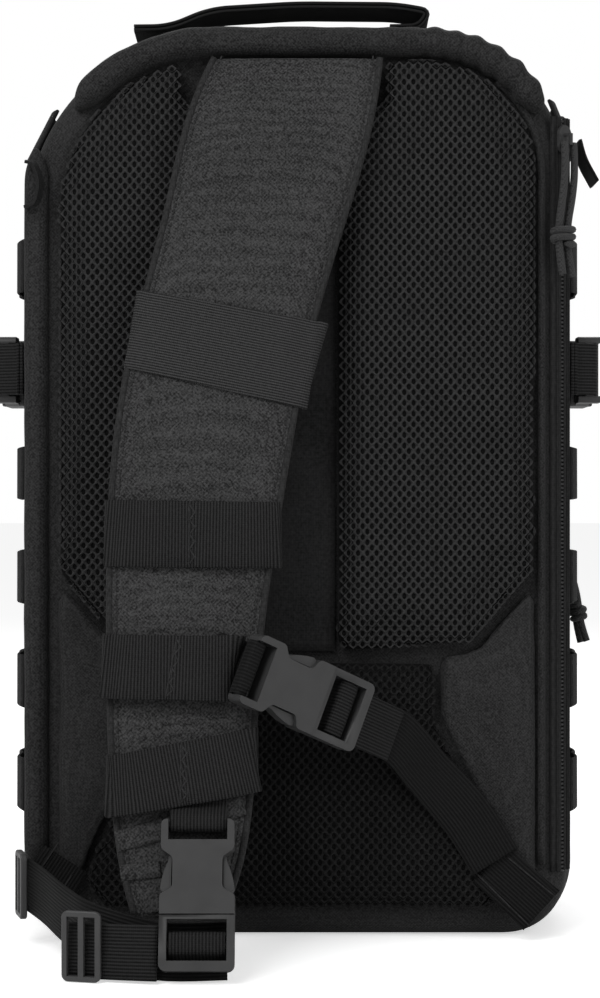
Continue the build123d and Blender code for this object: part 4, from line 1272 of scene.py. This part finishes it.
def soft_path(points, radius, step=0.9):
    """Points along a path in a plane, with its corners rounded."""
    points = [Vector((*p, 0)) for p in points]
    out = [points[0]]
    for a, b, c in zip(points, points[1:], points[2:]):
        reach = min(radius, 0.48 * (b - a).length, 0.48 * (c - b).length)
        start = b + (a - b).normalized() * reach
        stop = b + (c - b).normalized() * reach
        for t in span(0, 1, max(3, int(2 * reach / step))):
            out.append(start * (1 - t) ** 2 + b * 2 * t * (1 - t) + stop * t**2)
    return out + [points[-1]]


def seat_ribbon(name, seat, path, radius, finish):
    """Webbing that follows a path in a buckle's side view."""
    stations = [(seat.point(p.x, 0, p.y), seat.across, web_width) for p in soft_path(path, radius)]
    return strip_piece(name, stations, finish)


def socket_ribbon(name, seat, tail, drop, finish):
    """Webbing that comes from both sides of a seam and goes round the socket's bar."""
    start = bar_end - tail
    path = [(start, lap - drop), (-39.6, lap - drop), (-34.8, over_bar), (near_bar, over_bar),
            (near_bar, -over_bar), (-35.5, -over_bar), (-37.8, -lap - drop), (start, -lap - drop)]
    return seat_ribbon(name, seat, path, 2.2, finish)


round_plug_bar = [(bar_wrap, -3.4), (bar_wrap, over_bar + 0.5), (24.8, over_bar + 0.2)]


def plug_ribbon(name, seat, tail, finish):
    """Webbing up over the plug's bar and back under the end of its frame."""
    low = web_thickness + 0.4 - web_drop
    return seat_ribbon(name, seat, round_plug_bar + [(27.4, low), (43 + tail, low)], 2.6, finish)


# Cross strap
cross_points = [(cross_seat.point(x, 0, -web_drop), cross_seat.across, web_width) for x in (20.3, 40, 60)]
cross_points.append((cross_seat.point(83, -8.5, -web_drop - 1.4), cross_seat.way(0.423, 0.906, 0), web_width))
cross_points += [(spot(*place), Vector((0.90, 0.05, 0.43)).normalized(), web_width)
                 for place in ((80, -13.4, 61), (94, -12.9, 39))]


def matched(stations):
    """Stations with their directions across all on one side."""
    out = [stations[0]]
    for middle, across, width in stations[1:]:
        across = Vector(across).normalized()
        if across.dot(Vector(out[-1][1])) < 0:
            across = -across
        out.append((middle, across, width))
    return out


dressed(strip_piece("cross_strap", matched(cross_points), flat_webbing, samples=10), "pack",
        ["cross_web"])
dressed(plug_ribbon("cross_plug_strap", cross_seat, 14, tail_webbing), "cross_buckle_plug",
        ["cross_plug_web"])
strap_point = Vector((-36.0, back_y - 56.8, 141.0))
contact = strap_point - cross_seat.origin
contact = Vector((contact.dot(cross_seat.along), 0, contact.dot(cross_seat.out)))
flat_along = Vector((math.cos(bend), math.sin(bend)))
flat_out = Vector((-math.sin(bend), math.cos(bend)))
seam = Vector((contact.x, contact.z)) + flat_out * (2 * 0.3 + web_thickness + 0.7)
fold = seam + flat_along * ((-28.5 - seam.x) / flat_along.x)
sewn_end = fold - flat_along * 14.0
far_bar = bar_end - 0.2 - web_thickness / 2
socket_path = [sewn_end + flat_out * lap, fold + flat_out * lap, (far_bar, -2), (far_bar, over_bar),
               (near_bar, over_bar), (near_bar, -over_bar), fold + flat_along - flat_out * lap,
               sewn_end - flat_out * lap]
dressed(seat_ribbon("cross_socket_strap", cross_seat, socket_path, 1.6, flat_webbing), "pack",
        ["cross_socket_web"])

# Strap's lower end
dressed(socket_ribbon("strap_end_strap", lower_seat, 22, 4.15, tail_webbing), "pack",
        ["strap_end_web"])
wrap = seat_ribbon("lower_wrap", lower_seat, round_plug_bar + [(27.6, -3.0), (31, -3.2)], 2.2, tail_webbing)
tail_points = [(spot(*place, 13.2), across, 24.0) for place, across in (
    ((-60.7, -99.2), (0, -0.2, -0.98)), ((-80, -96), (0, -0.1, -1)), ((-100, -91), (0, -0.1, -1)))]
tail = strip_piece("lower_tail", tail_points, tail_webbing, 2.8, 6)
dressed(joined("lower_plug_strap", [wrap, tail]), "lower_buckle_plug", ["lower_plug_web"])
behind = 5.5 + 0.3 + web_thickness / 2
lower_points = [(lower_seat.point(23.5, y, -behind), lower_seat.along, web_width) for y in (13, -18)]
lower_points += [(spot(*place), across, web_width) for place, across in (
    ((-88, -87, 19), (0, -0.1, -1)), ((-104, -64, 23), (0, -0.05, -1)), ((-117, -38, 27), (0, 0, -1)),
    ((-127.2, -18, 29), (0, 0, -1)))]
dressed(strip_piece("lower_strap", matched(lower_points), flat_webbing, samples=6), "pack",
        ["lower_web"])


# Sides: webbing rows that stand out in loops, and the compression straps

def side_x(depth):
    return half_width + side_swell(depth)


side_strips = []
low, high = box_of("side_pals")
depth_low, depth_high = low.y - back_y, high.y - back_y
for row in (0, 2, 3, 4, 5):
    height = side_height + pals_pitch * (1 - row)
    for side in (-1, 1):
        stations = []
        for t in span(0, 1, 24):
            depth = depth_low + (depth_high - depth_low) * t
            loop = 1.9 * scallop(t, 3, 0.8)
            droop = 0.5 * ripple((side * 40, depth, height), 20.0, 4.0)
            stations.append((spot(side * (side_x(depth) + 1.1 + loop), depth, height + droop), (0, 0.02, 1),
                             26.0 - 0.5 * loop))
        side_strips.append(strip_piece("side_row", stations, rib_webbing, 1.6))
        for t in (0.02, 1 / 3, 2 / 3, 0.98):
            depth = depth_low + (depth_high - depth_low) * t
            side_strips.append(bar_tack(side * (side_x(depth) + 2.1), depth, height, (0, 0.8, 0)))
dressed(joined("side_rows", side_strips), "pack", ["side_pals"])

strap_strips = []
for seat, side in ((right_seat, 1), (left_seat, -1)):
    strap_strips.append(socket_ribbon("side_strap_end", seat, 11, 4.45 + side_bulge - 1.5, tail_webbing))
    stations = [(spot(side * (side_x(depth) + 1.6), depth, side_height), (0, 0, 1), web_width)
                for depth in span(side_depth + 20.3, depth_high, 8)]
    strap_strips.append(strip_piece("side_strap", stations, tail_webbing))
dressed(joined("side_straps_sewn", strap_strips), "pack", ["side_straps"])
for seat, word in ((right_seat, "right"), (left_seat, "left")):
    dressed(plug_ribbon(f"side_plug_strap_{word}", seat, 8, tail_webbing), f"side_buckle_plug_{word}",
            [f"side_plug_web_{word}"])

# Straps over the top corners
top_strips = []
for arc, radius, first, last, side in ((left_arc, left_corner, 144, 161, -1),
                                       (right_arc, right_corner, 33, 12, 1)):
    turn = math.radians((first + last) / 2)
    wide = abs(math.radians(last - first)) * radius
    stations = []
    for t in span(0, 1, 18):
        depth = 16 + 81 * t
        reach = radius + 1.2 + 1.4 * scallop(t, 2.5)
        place = spot(arc[0] + side * side_swell(depth) + reach * math.cos(turn), depth,
                     arc[1] + reach * math.sin(turn))
        stations.append((place, (-math.sin(turn), 0, math.cos(turn)), wide))
    top_strips.append(strip_piece("top_strap", stations, rib_webbing, 1.7))
flap_x = half_width + side_bulge
flap_points = soft_path([(flap_x + 1.0, 386.2), (flap_x + 3.4, 377), (flap_x + 9.5, 366)], 8.0)
top_strips.append(strip_piece("top_flap", [(spot(p.x, 26, p.y), (0, 1, 0), web_width) for p in flap_points],
                              tail_webbing))
loop_points = soft_path([(-129.5, 372), (-125.5, 371), (-122, 362), (-124.5, 351.5), (-130, 350)], 5.0)
top_strips.append(strip_piece("top_loop", [(spot(p.x, -8.4, p.y), (0.3, 1, 0.1), 6.0) for p in loop_points],
                              tail_webbing))
dressed(joined("top_corner_straps", top_strips), "pack", ["top_straps"])

# Corner tabs, folded and sewn
tab_pieces = []
for corners, depth in ((((80.4, 33.5), (107.7, 5.7), (124.9, 24.9), (102.9, 42.1)), -10.1),
                       (((-114.8, 50.2), (-126, 34), (-118, 10), (-106.2, 28.7)), -8.1)):
    a, b, c, d = (spot(x, depth, z) for x, z in corners)
    lines = [(a.lerp(b, t), d.lerp(c, t), Vector((0, -0.8 * math.sin(math.pi * t), 0)))
             for t in span(0, 1, 8)]
    stations = [((p + q) / 2 + puff, q - p, (q - p).length) for p, q, puff in lines]
    tab_pieces.append(strip_piece("corner_tab", stations, flat_webbing, 1.6, 2))
    for inset in (0.14, 0.86):
        line = [p.lerp(q, inset) + puff + Vector((0, -1.15, 0)) for p, q, puff in lines]
        tab_pieces.append(tube_piece("tab_seam", line, 0.4, thread_black, 5))
dressed(joined("corner_tabs_sewn", tab_pieces), "pack", ["corner_tabs"])

# Carry handle
handle_path = [(-79, 438.6), (-62, 438.8), (-42, 447.2), (0, 449.8), (48, 449.4), (64, 446.6), (59, 439.0),
               (45, 438.7)]
handle_line = soft_path(handle_path, 9.0, 1.6)
handle_pieces = []
for offset in (-0.95, 0.95):
    layer = [p + Vector((-ahead.y, ahead.x, 0)) * offset for p, ahead, _, _ in walk(handle_line)]
    stations = [(spot(q.x, 20, q.y), (0, 1, -0.05), web_width) for q in layer]
    handle_pieces.append(strip_piece("handle_layer", stations, flat_webbing))
dressed(joined("carry_handle_web", handle_pieces), "pack", ["carry_handle"])


# Zips: tape edges, the coil between them and its corded rim

def zip_along(name, line, across):
    """The coil of a zip along a line."""
    return row_of(coil_part, line, 1.9, across, coil_nylon, name)


zip_radius = 14.9


def on_edge(radius, across, z):
    """A place on the rounded right edge: out from its axis, and across towards the gusset."""
    turn = math.radians(-45) + across / zip_radius
    x, depth = half_width - back_rounding + radius * math.cos(turn), back_rounding + radius * math.sin(turn)
    return spot(x, depth, z)


low, high = box_of("rear_zip_tape")
levels = span(low.z, high.z, 60)
parts = [sheet("rear_tape", [[on_edge(15.0 + 0.25 * ripple((a, 0, z), 14.0, 6.0), a, z)
                              for a in span(first, last, 4)] for z in levels], 1.0, 0.0, tape_fabric)
         for first, last in ((-6.8, -0.9), (0.9, 6.8))]
parts += [tube_piece("rear_rim", [on_edge(15.7, a, z) for z in levels], 0.55, tape_fabric, 6)
          for a in (-3.6, 3.9, 6.2)]
dressed(joined("rear_zip_cloth", parts), "pack", ["rear_zip_tape"])
coil = zip_along("rear_zip_coil", [on_edge(15.3, 0, z) for z in levels], (0.707, 0.707, 0))
dressed(coil, "pack")


ring = [(p, w) for p, w in outline(-1.3) if p.z > door_edge - 1]
start = max(range(len(ring)), key=lambda i: (ring[i][0] - ring[i - 1][0]).length)
ring = ring[start:] + ring[:start]


def band_round(name, near, far):
    """A strip of cloth round the pack above the fold, between two depths."""
    middle = (near + far) / 2
    stations = [(spot(p.x, middle, p.z), (0, 1, 0), far - near) for p, _ in ring]
    return strip_piece(name, stations, tape_fabric, 1.0)


dressed(band_round("main_tape_rear", 102.2, 107.1), "pack", ["main_zip_tape_rear"])
dressed(band_round("main_tape_door", 108.9, 113.8), "door", ["main_zip_tape_door"])
coil_line = [spot(p.x, zip_plane, p.z) - w * 0.2 for p, w in ring]
dressed(zip_along("main_zip_coil", coil_line, (0, 1, 0)), "pack")


# Front pockets

def pocket_cover(node, name, radii):
    """A pocket's cover with creases in its fabric, and the binding round its seam."""
    low, high = box_of(node)
    near, far = low.y - back_y, high.y - back_y
    middle = Vector(((low.x + high.x) / 2, 0, (low.z + high.z) / 2))
    levels = [(0, near), (0, near + 8), (0, near + 15), (0.4, near + 20), (2.0, near + 25), (5.0, near + 28),
              (9.0, far - 0.8), (12.5, far - 0.4)]
    rings = [[(p, depth) for p, _ in rounded_plan(low, high, radii, -inset)] for inset, depth in levels]
    for share in (0.8, 0.6, 0.4, 0.2, 0.08):
        rings.append([(middle + (p - middle) * share, far - 0.2) for p, _ in rings[7]])
    count = len(rings[0])
    vertices = []
    for number, ring_here in enumerate(rings):
        for p, depth in ring_here:
            point = spot(p.x, depth, p.z)
            if 0 < number < 8:
                point += (p - middle).normalized() * (0.9 * ripple(point, 24.0, 6.0) - 0.5)
            if number > 5:
                point.y += min(0.0, 0.8 * ripple(point, 30.0, 2.0) - 0.3)
            vertices.append(point)
    faces = ring_faces(len(rings), count) + end_faces(len(rings), count)[1:]
    cover = rounded(walled(facing_out(outward(new_piece(name, vertices, faces, pack_fabric))), 2.4))
    trim = [spot(p.x, near + 1.5, p.z) for p, _ in rounded_plan(low, high, radii, 0.8)]
    return cover, tube_piece(name + "_binding", trim + trim[:1], 1.3, lining_fabric, 6)


for node, radii in (("pocket_lower", (14, 14, 14, 14)), ("pocket_upper", (14, 14, 62, 52))):
    cover, trim = pocket_cover(node, node + "_cover", radii)
    dressed(cover, "door", [node])
    dressed(trim, "door")

low, high = box_of("pocket_zip_tapes")
depth = (low.y + high.y) / 2 - back_y
levels = (low.z + 6.8, high.z - 6.8)
tapes = [strip_piece("pocket_tape", [(spot(x, depth, level + shift), (0, 0, 1), 5.9)
                                     for x in span(low.x, high.x, 12)], tape_fabric, 1.1)
         for level in levels for shift in (-3.85, 3.85)]
dressed(joined("pocket_zip_cloth", tapes), "door", ["pocket_zip_tapes"])
coils = [zip_along("pocket_coil", [spot(x, depth + 0.1, level) for x in (low.x + 2, high.x - 2)], (0, 0, -1))
         for level in levels]
dressed(joined("pocket_zip_coils", coils), "door")

low, high = box_of("front_pals")
half_row = 13.5
front_pieces = []
front_face = 170.9
lowest, highest = low.z + half_row, high.z - half_row
for height in (lowest, lowest + pals_pitch, highest - pals_pitch, highest):
    stations = [(spot(low.x + (high.x - low.x) * t, front_face + 1.1 * scallop(t, 5, 0.8),
                      height + 0.3 * ripple((t * 180, 0, height), 25.0, 3.0)), (0, 0, 1), 26.4)
                for t in span(0, 1, 48)]
    front_pieces.append(strip_piece("front_row", stations, rib_webbing))
    front_pieces += [bar_tack(low.x + (high.x - low.x) * t, front_face + 1.0, height, (0.9, 0, 0))
                     for t in span(0.01, 0.99, 5)]
dressed(joined("front_rows", front_pieces), "door", ["front_pals"])


# Inside: the wall of the rear sleeve and the elastic bands on it

divider_depth = box_of("divider_panel")[0].y - back_y
divider_profile = [(offset, divider_depth + 0.9) for offset in (-4.1, -22.0, -60.0, -100.0, -118.0)]
divider = lofted("sleeve_wall", divider_profile, lining_fabric, -1,
                 lambda p, w, d: Vector((0, 0.35 * ripple(p, 40.0, 3.0), 0)), 8.0)
dressed(walled(divider, 1.6, 0.0), "pack", ["divider_panel"])
low, high = box_of("elastic_bands")
depth = low.y - back_y + 0.75
bands = []
for height in (low.z + half_row, high.z - half_row):
    stations = [(spot(low.x + (high.x - low.x) * t, depth + 0.8 * scallop(t, 6), height), (0, 0, 1), 26.5)
                for t in span(0, 1, 40)]
    bands.append(strip_piece("elastic_loops", stations, ribbed_elastic, 1.2))
dressed(joined("elastic_loops", bands), "pack", ["elastic_bands"])


# Plastic and metal parts keep their own form

def finished(finish, *names):
    for name in names:
        mesh = nodes[name].data
        mesh.materials.clear()
        mesh.materials.append(finish)


for word, seat in (("lower", lower_seat), ("cross", cross_seat)):
    dressed(buckle_socket(f"{word}_buckle_socket", seat), "pack", [f"{word}_socket"])
    dressed(buckle_plug(f"{word}_buckle_half", seat), f"{word}_buckle_plug",
            [f"{word}_plug"])
side_halves = [buckle_socket("side_socket", seat) for seat in (left_seat, right_seat)]
dressed(joined("side_buckle_sockets", side_halves), "pack", ["side_sockets"])
for seat, word in ((left_seat, "left"), (right_seat, "right")):
    dressed(buckle_plug(f"side_buckle_half_{word}", seat), f"side_buckle_plug_{word}",
            [f"side_plug_{word}"])
finished(keeper_nylon, "web_keeper", "corner_ladder_left")
finished(slider_paint, "rear_zip_slider", "main_zip_slider_left", "main_zip_slider_right",
         "pocket_slider_lower", "pocket_slider_upper")
finished(stiff_sheet, "frame_sheet")


# Knots on the cord pulls: two turns round both strands, and the crossing turn over them

def knot_piece(name, routes):
    turns, steps, climb = 2.3, 44, 8.0
    (a, b), (c, d) = ([spot(*place) for place in route[3:5]] for route in routes)
    run = (b - a).normalized()
    spread = (a + b) / 2 - (c + d) / 2
    centre = (a + b + c + d) / 4
    side = (spread - run * spread.dot(run)).normalized()
    face = run.cross(side)
    wide = spread.length / 2 + cord_diameter / 2 + 1.1
    deep = cord_diameter / 2 + 1.3
    places = []
    for t in span(0, 1, steps):
        turn = 2 * math.pi * turns * t
        round_it = side * wide * math.cos(turn) + face * deep * math.sin(turn)
        places.append(centre + run * climb * (t - 0.5) + round_it)
    return tube_piece(name, places, 1.75, pull_cord, 9, 2)


for pull, body, group in pulls:
    wraps = knot_piece(f"{pull}_wraps", [route for piece, route, length in group])
    dressed(wraps, body, [f"{pull}_knot"])
    for number, (piece, route, length) in enumerate(group):
        dressed(piece, body, [f"{pull}_cord"])

for part in spare_parts:
    bpy.data.objects.remove(part)
